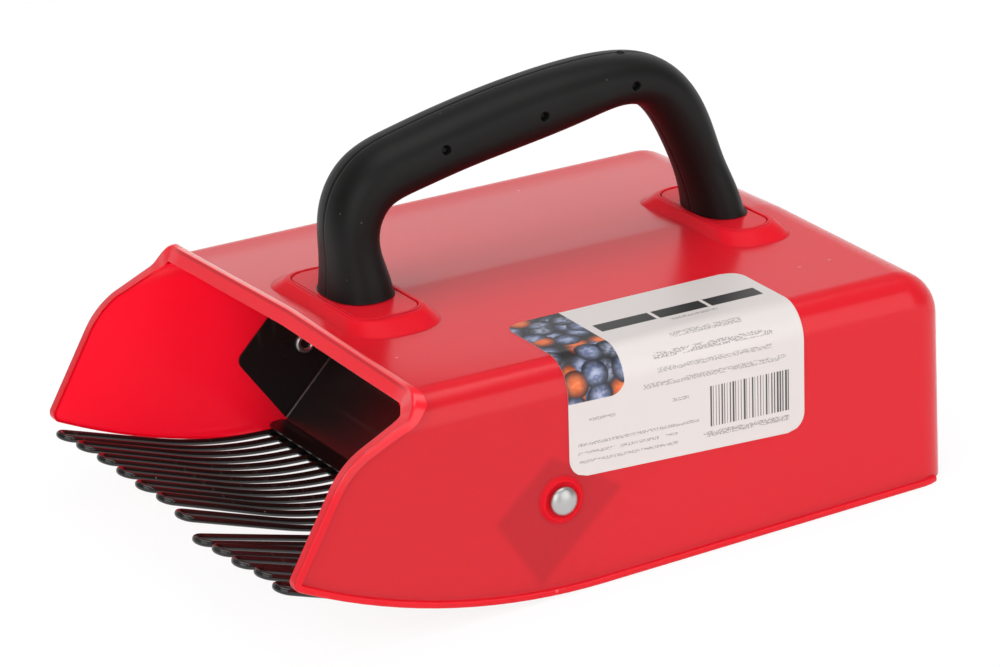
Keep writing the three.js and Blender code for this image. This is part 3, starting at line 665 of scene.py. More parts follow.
def roundedOutline(corners, steps=10):
    # Corners run counter-clockwise as (a, b, radius, inset of the side that leaves the corner)
    sides = []
    for i, (a, b, _, inset) in enumerate(corners):
        nextA, nextB = corners[(i + 1) % len(corners)][:2]
        along = unit([nextA - a, nextB - b])
        inward = np.array([-along[1], along[0]])
        sides.append((along, inward, np.array([a, b]) + inward * inset))
    points = []
    for i, (_, _, radius, inset) in enumerate(corners):
        before, after = sides[i - 1], sides[i]
        cross = before[0][0] * after[0][1] - before[0][1] * after[0][0]
        turn = atan2(cross, before[0] @ after[0])
        across = after[2] - before[2]
        reach = (across[0] * after[0][1] - across[1] * after[0][0]) / cross
        meet = before[2] + before[0] * reach
        if radius == 0:
            points.append(meet)
            continue
        side = 1 if turn > 0 else -1
        bend = max(radius - side * (corners[i - 1][3] + inset) / 2, leastBend)
        start = meet - before[0] * bend * tan(abs(turn) / 2)
        centre = start + before[1] * side * bend
        d = start - centre
        for k in range(steps + 1):
            c, s = cos(turn * k / steps), sin(turn * k / steps)
            points.append(centre + np.array([d[0] * c - d[1] * s, d[0] * s + d[1] * c]))
    return points


def roundedRectangle(length, depth, radius):
    x, y = length / 2, depth / 2
    return roundedOutline([(a, b, radius, 0) for a, b in ((-x, -y), (x, -y), (x, y), (-x, y))])


def turnedProfile(profile, steps):
    # Profile of (radius, height), turned round the Z axis
    angles = np.linspace(0, 2 * pi, steps, endpoint=False)
    return np.array([[(r * cos(t), r * sin(t), h) for t in angles] for r, h in profile])


def arc(centreA, centreB, radius, fromAngle, toAngle, steps):
    return [(centreA + radius * cos(radians(t)), centreB + radius * sin(radians(t)))
            for t in np.linspace(fromAngle, toAngle, steps + 1)]


def crownFall(x):
    # The top is a slight ridge along its middle line
    return hood["crownDrop"] * min(abs(x) / flatHalf, 1.0)


def onTop(points, y):
    # Sets points that were drawn round the origin on the hood's sloping top
    turn = np.array(Matrix.Rotation(hood["topSlope"], 3, "X"))
    return np.asarray(points, float) @ turn.T + np.array([0, y, topZ(y)])


def sideOutline(mouthInset, keelInset):
    endY = hood["rearY"] + hood["overrun"]
    headZ = topZ(hood["rearY"]) + hood["overrun"]
    keelY, keelZ, keelRadius = hood["keel"]
    browY, browZ, browRadius = hood["brow"]
    return roundedOutline([
        (keelY, keelZ, keelRadius, keelInset),
        (endY, keelZ + (endY - keelY) * floorTan, 0, 0),
        (endY, headZ, 0, 0),
        (browY + (headZ - browZ) / tan(hood["riserSlope"]), headZ, 0, mouthInset),
        (browY, browZ, browRadius, mouthInset),
        (*hood["knee"], mouthInset),
        (*hood["nose"], keelInset),
    ], arcSteps)


def mouthPath(mouthInset=0.0, keelInset=0.0):
    # From the head of the riser down to the nose and back along the keel, without the top rear corner
    points = sideOutline(mouthInset, keelInset)
    keelEnd = arcSteps + 2
    return np.array(points[keelEnd + 1:] + points[:keelEnd])


keelPath = mouthPath()
keelPath = keelPath[keelPath[:, 0].argmin():]


def keelEdgeZ(y):
    return float(np.interp(y, keelPath[:, 0], keelPath[:, 1]))


def rearFaceY(z):
    height = topZ(hood["rearY"]) + hood["overrun"]
    return hood["rearY"] + hood["rearDraft"] - 2 * hood["rearDraft"] * (z + hood["overrun"]) / height


def mouthAt(depth, inset=0.0, keelInset=0.0):
    # Where the mouth crosses the ridge line lowered by depth
    path = mouthPath(inset, keelInset)
    gap = path[:, 1] - (topZ(0) + path[:, 0] * topTan - depth)
    i = int(np.argmax(gap < 0))
    t = gap[i - 1] / (gap[i - 1] - gap[i])
    return path[i - 1] + (path[i] - path[i - 1]) * t


floorSheet = {"sheet": 0.6, "gap": 0.2, "inset": 0.05, "rearLip": 6.5, "rearHalf": 80.0, "tongue": 14.0,
              "sideGap": 0.5, "lipBend": 0.9}
# The hood's skins, as (inset, inset along the mouth, inset along the keel, 1 to face outwards or -1)
hoodSkins = {"outer": (0.0, 1.3, 0.9, 1), "inner": (hood["wall"], 0.4, 0.3, -1), "footGap": 0.25,
             # Places of the columns round the edges, in degrees, and over the flat, as shares of it
             "phis": (90, 84, 77, 70, 62, 54, 46, 38, 30, 22), "footPhi": 6, "flatShares": (0.75, 0.5, 0.25),
             "topSteps": 13, "rearSteps": 5}


def floorTopZ(y):
    return keelEdgeZ(y) + (floorSheet["inset"] + floorSheet["sheet"]) / cos(tilt["angle"])


rearFloorZ = floorTopZ(hood["rearY"])
rearFootZ = rearFloorZ + hoodSkins["footGap"]


def addHoodSkin(into, inset, mouthInset, keelInset, facing):
    # Lofted skin of top, rear wall and rounded edges, in columns from side to side, and the two flat side walls
    slope, edgeRadius = hood["topSlope"], hood["edgeRadius"]
    topSteps, rearSteps = hoodSkins["topSteps"], hoodSkins["rearSteps"]
    draft = atan(2 * hood["rearDraft"] / (topZ(hood["rearY"]) + hood["overrun"]))
    phis = [radians(phi) for phi in hoodSkins["phis"]]
    phis += [asin((hood["rearFootHalf"] + step - flatHalf) / edgeRadius) for step in (0.05, -0.05)]
    phis += [radians(hoodSkins["footPhi"]), 0.0]
    columns = [(-1, phi, None) for phi in phis]
    columns += [(-1, 0.0, flatHalf * share) for share in hoodSkins["flatShares"]] + [(-1, 0.0, 0.5)]
    columns += [(1, phi, x) for _, phi, x in reversed(columns)]
    radius = edgeRadius - inset
    angles = np.linspace(pi / 2 + slope, draft, 13)
    half = tan((pi / 2 + slope - draft) / 2)
    rows, normals = [], []
    for side, phi, flatX in columns:
        x = side * (flatHalf + radius * sin(phi) if flatX is None else flatX)
        fall = crownFall(x)
        drop = inset + radius * (1 - cos(phi))
        front = mouthAt(drop / cos(slope) + fall, mouthInset, keelInset)
        bend = max(hood["rearRadius"] - drop, leastBend)
        topLine = lambda y: topZ(y) - fall - drop / cos(slope)
        rearLine = lambda z: rearFaceY(z) - drop / cos(draft)
        # Corner arc between the top line and the rear line
        cornerY = rearLine(topLine(hood["rearY"]))
        cornerZ = topLine(cornerY)
        centreY = cornerY - bend * half * cos(slope) + bend * sin(slope)
        centreZ = cornerZ - bend * half * sin(slope) - bend * cos(slope)
        startY = centreY + bend * cos(angles[0])
        line = [(x, y, topLine(y)) for y in np.linspace(front[0], startY, topSteps + 1)[:-1]]
        line += [(x, centreY + bend * cos(angle), centreZ + bend * sin(angle)) for angle in angles]
        isOverLip = abs(x) < hood["rearFootHalf"]
        foot = rearFootZ if isOverLip else keelEdgeZ(hood["rearY"] - drop) + keelInset
        line += [(x, rearLine(z), z) for z in np.linspace(line[-1][2], foot, rearSteps + 1)[1:]]
        rows.append(line)
        lean = [topUp[1:]] * topSteps + [(cos(angle), sin(angle)) for angle in angles]
        lean += [(cos(draft), sin(draft))] * rearSteps
        normals.append([])
        for back, up in lean:
            # The ridge only tells on the top, not on the rear wall
            aside = max(phi, crownAngle * max(up, 0.0))
            normals[-1].append((side * sin(aside), back * cos(aside), up * cos(aside)))
    into.addGrid(rows, np.asarray(normals) * facing)
    depth = edgeRadius / cos(slope) + hood["crownDrop"]
    start = mouthAt(depth, mouthInset, keelInset)
    wall = [p for p in mouthPath(mouthInset, keelInset)
            if p[1] < topZ(p[0]) - depth - 0.01 and p[0] < hood["rearY"] - edgeRadius]
    for side, edge in ((-1, rows[0]), (1, rows[-1])):
        outline = [start, *wall, edge[-1][1:], *(p[1:] for p in reversed(edge[topSteps:-1]))]
        into.addPlate([(edge[0][0], *p) for p in outline], (side * facing, 0, 0))


def rimProfile(raiseBy, width, shear, thin):
    # Outline of the rim across the mouth's edge: place inwards from the edge, height over the outer skin.
    # Along the header (thin 1) it is a narrow lip with a groove in front of its crest.
    wall, foot, fillet = hood["wall"], 0.3, 0.5
    outer, back = 0.85 - 0.2 * thin, 0.55 + 0.25 * thin
    width = width + (1.9 - width) * thin
    shoulder = raiseBy - (0.55 + 0.75 * thin)
    points = [(0.9, -wall), (foot, -wall)]
    points += arc(foot, foot - wall, foot, 270, 180, 3)[1:]
    points += [(0.0, shoulder - 0.45), (0.05 + 0.2 * thin, shoulder - 0.1 - 0.1 * thin)]
    points += arc(outer + 0.1 * thin, raiseBy - outer, outer, 180, 90, 6)
    points += arc(width - back, raiseBy - back, back, 90, 0, 5)
    points += arc(width + fillet, fillet, fillet, 180, 270, 4)
    points += [(width + fillet + 0.3, -0.02)]
    return [(d + shear * h * (1 if d < width - 1.0 else 0.85), h) for d, h in points]


def rimStations():
    # From the rear end on the labelled side to the header: foot on the skin, crest, normal, width, thin
    height, radius = hood["edgeRadius"], hood["headerRadius"]
    keelWidth, rimWidth, raiseBy = hood["keelRimWidth"], hood["rimWidth"], hood["rimRaise"]
    half = []
    for phi in np.linspace(acos(1 - hood["rimEnd"] / height), pi / 2, 5)[:-1]:
        y = hood["rearY"] - height * (1 - cos(phi))
        foot = np.array([flatHalf + height * sin(phi), y, keelEdgeZ(y)])
        normal = np.array([sin(phi), cos(phi), 0])
        half.append((foot, foot + normal * raiseBy, normal, keelWidth, 0.0))
    # Along the keel and up the cheek and the riser, where the rim gets wider
    depth = height / cos(hood["topSlope"]) + hood["crownDrop"] + 0.3
    rising = [p for p in mouthPath() if p[1] < topZ(p[0]) - depth and p[0] < hood["rearY"] - height][::-1]
    startY = hood["rearY"] - height + 0.2
    spots = [np.array([startY, keelEdgeZ(startY)])]
    for a, b in zip(rising[:-1], rising[1:]):
        steps = max(1, int(np.linalg.norm(b - a) / hood["rimStep"]))
        spots += [a + (b - a) * k / steps for k in range(steps)]
    for p in spots + rising[-1:]:
        t = min(max((p[1] - hood["widensFrom"]) / hood["widensOver"], 0), 1) if p[0] < hood["cheekEnd"] else 0
        width = keelWidth + (rimWidth - keelWidth) * t * t * (3 - 2 * t)
        foot = np.array([hood["halfWidth"], *p])
        half.append((foot, foot + (raiseBy, 0, 0), np.array([1.0, 0, 0]), width, 0.0))
    # Round the upper corner the crest follows a tighter arc than the skin below it
    arcX, arcDepth = hood["halfWidth"] + raiseBy - radius, hood["crownDrop"] - hood["headerRaise"] + radius
    for phi in np.linspace(pi / 2, 0, 21):
        s, c = sin(phi), cos(phi)
        crestX, crestDepth = arcX + radius * s, arcDepth - radius * c
        overX, overZ = crestX - flatHalf, hood["crownDrop"] + height - crestDepth
        near = overX * s + overZ * c
        lift = near - sqrt(max(near ** 2 - (overX ** 2 + overZ ** 2 - height ** 2), 0))
        lift += (hood["headerRaise"] - lift) * c ** 8
        width = rimWidth + (hood["headerWidth"] - rimWidth) * c * c * (3 - 2 * c)
        foot = np.array([crestX - lift * s, *mouthAt(crestDepth + lift * c)])
        crest = np.array([crestX, *mouthAt(crestDepth)])
        half.append((foot, crest, np.array([s, topUp[1] * c, topUp[2] * c]), width, c ** 10))
    for x in (54.0, 27.0, 0.5):
        foot = np.array([x, *mouthAt(crownFall(x))])
        crest = np.array([x, *mouthAt(crownFall(x) - hood["headerRaise"])])
        half.append((foot, crest, np.array(topUp), hood["headerWidth"], 1.0))
    mirror = np.array([-1, 1, 1])
    return half + [(foot * mirror, crest * mirror, normal * mirror, width, thin)
                   for foot, crest, normal, width, thin in reversed(half)]


def addRim(into):
    stations = rimStations()
    along = unit(np.gradient(np.array([station[0] for station in stations]), axis=0))
    rows, normals = [], []
    for (foot, crest, normal, width, thin), tangent in zip(stations, along):
        normal = unit(normal)
        tangent = unit(tangent - normal * (tangent @ normal))
        inward = np.cross(tangent, normal)
        lift = (crest - foot) @ normal
        profile = np.array(rimProfile(lift, width, ((crest - foot) @ inward) / lift, thin))
        step = np.gradient(profile, axis=0)
        side = unit(np.stack([-step[:, 1], step[:, 0]], axis=1))
        rows.append([foot + inward * d + normal * h for d, h in profile])
        normals.append([inward * a + normal * b for a, b in side])
    into.addGrid(rows, normals)
    into.addPlate(rows[0], -along[0])
    into.addPlate(rows[-1], along[-1])


collar = {
    "height": 3.0, "margin": 1.9,
    "places": ({"y": 67.0, "length": 73.5, "depth": 31.0, "radius": 13.0, "footDepth": 22.2, "trim": 0.0},
               {"y": 196.3, "length": 65.5, "depth": 24.0, "radius": 9.5, "footDepth": 15.8, "trim": 3.5}),
    "footLength": 54.4, "footRadius": 7.0, "footGap": 0.25, "footEdge": 0.75,
    "bead": 0.22, "beadAt": 0.55, "beadHalf": 0.5, "pocketDepth": 2.8,
    # Flank, as share of the way from the foot to the plateau, and height
    "flank": ((-0.12, 0.0), (-0.05, 0.06), (0.02, 0.22), (0.1, 0.46), (0.5, 1.62), (0.84, 2.58), (0.91, 2.75),
              (0.97, 2.87), (1.03, 2.95), (1.1, 2.99), (1.17, 3.0)),
}


def blendRings(lower, upper, levels):
    # Rings between two outlines of equally many points: share of the way from lower to upper, and height
    return [[(*(a + (b - a) * share), height) for a, b in zip(lower, upper)] for share, height in levels]


def footOutline(spot, grow):
    # Outline of the foot plate at one collar, grown on all sides
    length = collar["footLength"] - spot["trim"]
    return roundedRectangle(length + 2 * grow, spot["footDepth"] + 2 * grow, collar["footRadius"] + grow)


def addCollars(into):
    high = collar["height"]
    for spot in collar["places"]:
        lower = roundedRectangle(spot["length"], spot["depth"], spot["radius"])
        rings = blendRings(lower, footOutline(spot, collar["margin"]), collar["flank"])
        rings = [[(x, y, z - crownFall(x) * (1 - z / high)) for x, y, z in ring] for ring in rings]
        # Bead round the pocket of the foot, then the pocket's wall
        for t in np.linspace(0, pi, 7):
            outline = footOutline(spot, collar["beadAt"] + collar["beadHalf"] * cos(t))
            rings.append([(*p, high + collar["bead"] * sin(t)) for p in outline])
        pocket = footOutline(spot, 0.0)
        rings += [[(*p, high - deep) for p in pocket] for deep in (0.2, collar["pocketDepth"])]
        into.addTube([onTop(ring, spot["y"]) for ring in rings])


ramp = {
    "lipFront": 74.4, "lipDepth": 7.2, "lipShares": (0, 0.02, 0.08, 0.18, 0.32, 0.5, 0.7, 0.85),
    "lipCorner": 5.0, "length": 40.0, "angle": radians(46.5), "bend": 1.6, "sideGap": 0.2, "sideBend": 1.1,
    "foldSlant": 0.5,
    "flangeWidth": 28.3, "flangeBottom": 1.2, "flangeEnd": 39.2, "flangeRadius": 3.5,
    "flangeLean": radians(9), "weldAt": 4.2, "weldShape": (0.75, 1.25, 1),
    "weld": ((1.9, -0.1), (1.7, 0.08), (1.2, 0.26), (0.6, 0.34), (0.01, 0.36)),
}
comb = {"wire": 2.1, "rootDepth": 6.2, "bendY": 51.0, "bendRadius": 130.0, "hairpins": 12,
        "tip": (-0.6, 17.9), "tipTrim": 0.14, "tipBlob": 0.12, "blobReach": 12,
        # How far each hairpin's tip hangs and reaches forwards, in wires
        "sags": (0.33, 0, 0, 0, 0, -0.14, 0.29, 2.0, 1.24, 0.83, 0.24, 0.12),
        "reaches": (0.7, 0.38, 0, -0.12, -0.1, -0.38, -0.2, 0.24, 0.29, 0.43, 0.14, 0.57)}
legPitch = innerHalf / comb["hairpins"]
stackZ = keelEdgeZ(ramp["lipFront"]) + floorSheet["inset"] + floorSheet["sheet"] + floorSheet["gap"]
wireZ = stackZ + comb["wire"] / 2
foldPoint = np.array([ramp["lipFront"] + ramp["lipDepth"],
                      stackZ + comb["wire"] + floorSheet["gap"] + floorSheet["sheet"]])
rampAlong = np.array([cos(ramp["angle"]), sin(ramp["angle"])])
rampUp = np.array([-sin(ramp["angle"]), cos(ramp["angle"])])


def rampPoint(along, up):
    return foldPoint + rampAlong * along + rampUp * up


rivet = {"along": 24.4, "up": 11.5, "head": 4.6, "headHeight": 2.45, "headFoot": 0.2, "shank": 2.4, "bore": 1.7,
         "roll": 3.6, "rollHeight": 1.2, "bossHeight": 1.0, "rearX": 45.0, "rearUp": 3.4, "rearShare": 0.58}
rivetPlace = rampPoint(rivet["along"], rivet["up"])


def sideways(rows, side, x):
    # Turns rows that were drawn along Z to point along X at the side rivet
    y, z = rivetPlace
    return np.stack([side * (rows[..., 2] + x), y + rows[..., 1], z - side * rows[..., 0]], axis=-1)


def addBosses(into):
    profile = [(8.0, -0.02), (7.4, 0.03), (6.9, 0.22), (6.6, 0.6)]
    profile += arc(6.15, 0.62, 0.42, 20, 150, 6) + [(5.35, 0.5), (5.05, 0.35), (2.0, 0.33)]
    for side in (-1, 1):
        into.addTube(sideways(turnedProfile(profile, 48), side, hood["halfWidth"]))


def makeHood():
    shell = Skins()
    addHoodSkin(shell, *hoodSkins["outer"])
    # Foot of the rear wall, over the tongue of the floor
    half = hood["rearFootHalf"] - 0.05
    foot = [(x, rearFaceY(rearFootZ) - deep, rearFootZ)
            for x, deep in ((-half, 0), (half, 0), (half, hood["wall"]), (-half, hood["wall"]))]
    shell.addPlate(foot, (0, 0, -1))
    buildPiece("hoodShell", shell, "hood", "red_plastic", "hood")
    inside = Skins()
    addHoodSkin(inside, *hoodSkins["inner"])
    buildPiece("hoodInside", inside, "inside", "red_plastic")
    rim = Skins()
    addRim(rim)
    buildPiece("hoodRim", rim, "rim", "red_plastic")
    details = Skins()
    addCollars(details)
    addBosses(details)
    buildPiece("hoodCollars", details, "collar", "red_plastic")


makeHood()
print("hood made")


# Handle: soft grip over a moulded core whose feet are let into the collars
grip = {
    "depth": 21.5, "width": 26.0, "height": 52.95, "squareness": 2.3, "footGap": 0.25,
    # Dimples, as share of the way along the grip and place across it
    "dimples": ((0.37, -2.1), (0.479, 0.0), (0.605, 0.0)),
    "dimpleRadius": 1.25, "dimpleDepth": 2.4, "dimpleBlur": 0.09, "dimpleReach": 3.0,
    "seams": (pi / 2, 3 * pi / 2), "seamWidth": 0.28, "seamDepth": 0.22,
    # Gate nub on the outer parting line, at a place counted in the route's points
    "nubAt": 9.15, "nub": ((1.6, -0.3), (1.45, 0.1), (1.1, 0.35), (0.5, 0.5), (0.01, 0.52)),
    # Route of the middle line, as shares of the way between the collars and of the height, with its thickness
    "route": (
        (0.003, -0.12), (0.003, 0.084), (-0.008, 0.296), (-0.005, 0.515), (0.038, 0.69), (0.141, 0.79),
        (0.273, 0.86), (0.447, 0.93), (0.608, 0.984), (0.725, 1.002), (0.814, 0.945), (0.876, 0.8),
        (0.924, 0.571), (0.956, 0.366), (0.993, 0.084), (1.001, -0.12),
    ),
    "depths": (0.98, 0.94, 0.79, 0.82, 0.88, 0.91, 0.93, 0.95, 0.87, 0.76, 0.76, 0.75, 0.7, 0.66, 0.72, 0.74),
    "widths": (1.18, 1.14, 0.98, 0.93, 0.96, 1, 1, 1, 1, 0.97, 0.93, 0.91, 0.89, 0.89, 1.08, 1.12),
}


def splineThrough(knots, values, places):
    # Natural cubic through the rows of values at the knots
    gaps = np.diff(knots)
    count = len(knots)
    system, right = np.eye(count), np.zeros_like(values)
    for i in range(1, count - 1):
        system[i, i - 1:i + 2] = gaps[i - 1], 2 * (gaps[i - 1] + gaps[i]), gaps[i]
        right[i] = 6 * ((values[i + 1] - values[i]) / gaps[i] - (values[i] - values[i - 1]) / gaps[i - 1])
    bends = np.linalg.solve(system, right)
    i = np.clip(np.searchsorted(knots, places) - 1, 0, count - 2)
    h, a, b = (v[:, None] for v in (gaps[i], knots[i + 1] - places, places - knots[i]))
    curve = (bends[i] * a ** 3 + bends[i + 1] * b ** 3) / (6 * h)
    return curve + (values[i] / h - bends[i] * h / 6) * a + (values[i + 1] / h - bends[i + 1] * h / 6) * b


def denser(base, centres, reach, step):
    extra = [c + k * step for c in centres for k in range(-int(reach / step), int(reach / step) + 1)]
    keep = [v for v in base if all(abs(v - c) > reach for c in centres)]
    return np.array(sorted(keep + extra))


def gripAngles():
    # Even angles, with more of them beside both seams and across the dimples
    angles = set(np.linspace(0, 2 * pi, 72, endpoint=False))
    angles.update(seam + d for seam in grip["seams"] for d in (-0.06, -0.035, -0.015, 0.015, 0.035, 0.06))
    angles.update((k * 0.018) % (2 * pi) for k in range(-24, 13))
    return sorted(angles)


def gripDent(place, angle, across, size, marks):
    # Depth of the seams and dimples at a point, with dimples on the labelled side only
    dent = 0.0
    for seam in grip["seams"]:
        gap = abs((angle - seam + pi) % (2 * pi) - pi) * max(size)
        dent += grip["seamDepth"] * exp(-(gap / grip["seamWidth"]) ** 2)
    for mark, above in marks:
        away = hypot(place - mark, across - above)
        if cos(angle) > 0 and away < grip["dimpleReach"]:
            dent += grip["dimpleDepth"] / (1 + exp((away - grip["dimpleRadius"]) / grip["dimpleBlur"]))
    return dent


def makeGrip():
    front, rear = (spot["y"] for spot in collar["places"])
    route = []
    for a, b in grip["route"]:
        y = front + a * (rear - front)
        route.append((y, topZ(y) + b * grip["height"]))
    route = np.array(route)
    chords = np.concatenate([[0], np.cumsum(np.linalg.norm(np.diff(route, axis=0), axis=1))])
    stations = range(len(route))
    marks = [(np.interp(share * stations[-1], stations, chords), above) for share, above in grip["dimples"]]
    places = denser(np.linspace(0, chords[-1], 190), [mark for mark, _ in marks], 2.4, 0.2)
    centres = splineThrough(chords, route, places)
    halves = [(wide * grip["width"] / 2, deep * grip["depth"] / 2)
              for wide, deep in zip(grip["widths"], grip["depths"])]
    sizes = splineThrough(chords, np.array(halves), places)
    tangents = unit(np.gradient(centres, places, axis=0))
    outwards = np.stack([tangents[:, 1], -tangents[:, 0]], axis=1)  # towards the inside of the arch
    power = lambda value: copysign(abs(value) ** (2 / grip["squareness"]), value)
    angles, rows = gripAngles(), []
    for place, centre, size, out in zip(places, centres, sizes, outwards):
        row = []
        for angle in angles:
            a, b = size[0] * power(cos(angle)), size[1] * power(sin(angle))
            shrink = 1 - gripDent(place, angle, b, size, marks) / hypot(a, b)
            row.append((a * shrink, centre[0] + out[0] * b * shrink, centre[1] + out[1] * b * shrink))
        rows.append(row)
    rows = np.array(rows)
    # Cut level with the feet: what is below is moved up along the leg
    lift = collar["height"] + grip["footGap"]
    rows[..., 2] = np.maximum(rows[..., 2], topZ(rows[..., 1]) + lift / cos(hood["topSlope"]))
    body = Skins()
    body.addTube(rows)
    i = int(np.argmin(abs(places - np.interp(grip["nubAt"], stations, chords))))
    turn = np.stack([[1, 0, 0], [0, *tangents[i]], [0, *(-outwards[i])]], axis=1)
    spot = np.array([0, *(centres[i] - outwards[i] * sizes[i][1])])
    body.addTube(turnedProfile(grip["nub"], 20) @ turn.T + spot)
    buildPiece("gripSleeve", body, "grip", "soft_grip", "handle_grip")


def makeFeet():
    # Each foot plate rounds over at its edge, from the outer outline to the inner one, and closes at its middle
    edge = ((0, -2.6), (0, -0.45), (0.1, -0.22), (0.35, -0.06), (0.75, 0), (1, 0))
    high = collar["height"]
    feet = Skins()
    for spot in collar["places"]:
        outer, inner = footOutline(spot, -collar["footGap"]), footOutline(spot, -collar["footEdge"])
        rings = blendRings(outer, inner, [(share, high + drop) for share, drop in edge])
        middle = roundedRectangle(20, 6, 2)
        rings += [[(*(p * share), high) for p in middle] for share in (1, 0.01)]
        feet.addTube([onTop(ring, spot["y"]) for ring in rings])
    buildPiece("handleFeet", feet, "red", "red_plastic", "handle_core")


makeGrip()
makeFeet()
print("handle made")


# Steel sheets
def rampProfile():
    # Upper face from the lip's front edge over the fold to the head of the slope, as (y, z)
    angle, bend = ramp["angle"], ramp["bend"]
    start = foldPoint - np.array([bend * tan(angle / 2), 0])
    front = ramp["lipFront"]
    points = [np.array([front + (start[0] - front) * share, foldPoint[1]]) for share in ramp["lipShares"]]
    centre = start + np.array([0, bend])
    points += [centre + bend * np.array([sin(t), -cos(t)]) for t in np.linspace(0, angle, 7)]
    end = rampPoint(ramp["length"], 0)
    return points + [points[-1] + (end - points[-1]) * t for t in np.linspace(0, 1, 8)[1:]]


def makeRamp():
    body = Skins()
    sheet, bend, lipCorner = floorSheet["sheet"], ramp["sideBend"], ramp["lipCorner"]
    outerX = innerHalf - ramp["sideGap"]
    reach = outerX - sheet - bend
    lip = len(ramp["lipShares"])
    rows = []
    for i, (y, z) in enumerate(rampProfile()):
        # The lip reaches the side walls with rounded front corners, and the slope ends at the flanges' folds
        fromCorner = max(lipCorner - (y - ramp["lipFront"]), 0.0)
        end = outerX - ramp["sideGap"] - (lipCorner - sqrt(lipCorner ** 2 - fromCorner ** 2))
        if i > lip:
            end = max(reach, end - ramp["foldSlant"] * (i - lip))
        rows.append([(x, y, z) for x in np.linspace(-end, end, 25)])
    body.addSheet(rows, sheet)
    bottom, head, width = ramp["flangeBottom"], ramp["flangeEnd"], ramp["flangeWidth"]
    corners = [(bottom, bend, 0, 0), (head, bend, 0, 0), (head, width, 2 * ramp["flangeRadius"], 0),
               (bottom + width * tan(ramp["flangeLean"]), width, ramp["flangeRadius"], 0)]
    outline = [rampPoint(a, u) for a, u in roundedOutline(corners)]
    turns = np.linspace(0, pi / 2, 7)
    for side in (-1, 1):
        rows = []
        for along in np.linspace(bottom, head, 12):
            rows.append([(side * (reach + bend * sin(t)), *rampPoint(along, bend * (1 - cos(t))))
                         for t in turns])
        normals = [[(-side * sin(t), *(rampUp * cos(t))) for t in turns]] * len(rows)
        body.addSheet(rows, sheet, np.array(normals))
        inner = [(side * (outerX - sheet), *p) for p in outline]
        outer = [(side * outerX, *p) for p in outline]
        body.addPlate(inner, (-side, 0, 0))
        body.addPlate(outer, (side, 0, 0))
        body.addGrid([inner + inner[:1], outer + outer[:1]])
    # Weld mark over each leg
    weld = turnedProfile(ramp["weld"], 14) * np.array(ramp["weldShape"])
    for k in range(-comb["hairpins"], comb["hairpins"]):
        body.addTube(weld + np.array([(k + 0.5) * legPitch, ramp["lipFront"] + ramp["weldAt"], foldPoint[1]]))
    buildPiece("rampSheet", body, "steel", "black_steel", "ramp_plate")


def makeFloor():
    body = Skins()
    sheet, bend, half = floorSheet["sheet"], floorSheet["lipBend"], floorSheet["rearHalf"]
    side = innerHalf - floorSheet["sideGap"]
    ys = np.linspace(ramp["lipFront"], hood["rearY"] - floorSheet["tongue"], 22)
    body.addSheet([[(x, y, floorTopZ(y)) for x in np.linspace(-side, side, 9)] for y in ys], sheet)
    # Tongue under the rear wall, turned up behind it
    lipY = rearFaceY(rearFloorZ) + floorSheet["gap"]
    edge = [(y, floorTopZ(y)) for y in np.linspace(ys[-1], lipY - bend, 4)]
    foldZ = edge[-1][1]
    edge += [(lipY - bend + bend * sin(t), foldZ + bend * (1 - cos(t)))
             for t in np.linspace(0, pi / 2, 6)[1:]]
    edge.append((lipY, floorTopZ(lipY) - sheet + floorSheet["rearLip"]))
    body.addSheet([[(x, y, z) for x in np.linspace(-half, half, 9)] for y, z in edge], sheet)
    buildPiece("floorSheet", body, "steel", "black_steel", "floor_plate")


makeRamp()
makeFloor()
print("steel made")


# Comb of coated wire hairpins
def hairpinLeg(sag, reach):
    # Middle line of one leg from its root under the lip to where the tip's turn starts, as (y, z)
    tip = np.array([comb["tip"][0] - reach, comb["tip"][1] - sag])
    bend = np.array([comb["bendY"], wireZ])
    forward = unit(tip - bend)
    angle = atan2(forward[1], -forward[0])
    radius = comb["bendRadius"]
    start = bend + np.array([radius * tan(angle / 2), 0])
    centre = start + np.array([0, radius])
    root = np.array([ramp["lipFront"] + comb["rootDepth"], wireZ])
    leg = [root, (root + start) / 2]
    leg += [centre - radius * np.array([sin(t), cos(t)]) for t in np.linspace(0, angle, 20)]
    end = tip - forward * (legPitch / 2 + comb["wire"] / 2)
    return leg + [leg[-1] + (end - leg[-1]) * t for t in np.linspace(0, 1, 6)[1:]], forward


def makeHairpin(number, middleX, sag, reach):
    half, radius = legPitch / 2, comb["wire"] / 2
    leg, forward = hairpinLeg(sag, reach)
    path = [(middleX - half, *p) for p in leg]
    for t in np.linspace(0, pi, 17)[1:-1]:
        ahead = forward * (half - comb["tipTrim"]) * sin(t)
        path.append((middleX - half * cos(t), *(leg[-1] + ahead)))
    path += [(middleX + half, *p) for p in reversed(leg)]
    path = np.array(path)
    along = unit(np.gradient(path, axis=0))
    across = unit(np.cross(along, (0, 0, 1)))
    turns = np.linspace(0, 2 * pi, 16, endpoint=False)
    rows, normals = [], []
    for i, (point, a, u) in enumerate(zip(path, across, np.cross(across, along))):
        # The coat is a little thicker round the tip
        fromTip = min(abs(i - (len(path) - 1) / 2) / comb["blobReach"], 1)
        coat = radius * (1 + comb["tipBlob"] * cos(fromTip * pi / 2) ** 2)
        ring = [a * cos(t) + u * sin(t) for t in turns]
        rows.append([point + r * coat for r in ring])
        normals.append(ring)
    body = Skins()
    body.addGrid(rows, normals, closedRows=True)
    body.addPlate(rows[0], -along[0])
    body.addPlate(rows[-1], along[-1])
    buildPiece("hairpin_%02d_wire" % number, body, "wire", "black_wire", "hairpin_%02d" % number)


for i, (sag, reach) in enumerate(zip(comb["sags"], comb["reaches"])):
    makeHairpin(i + 1, (2 * i + 1 - comb["hairpins"]) * legPitch, sag * comb["wire"], reach * comb["wire"])
print("comb made")


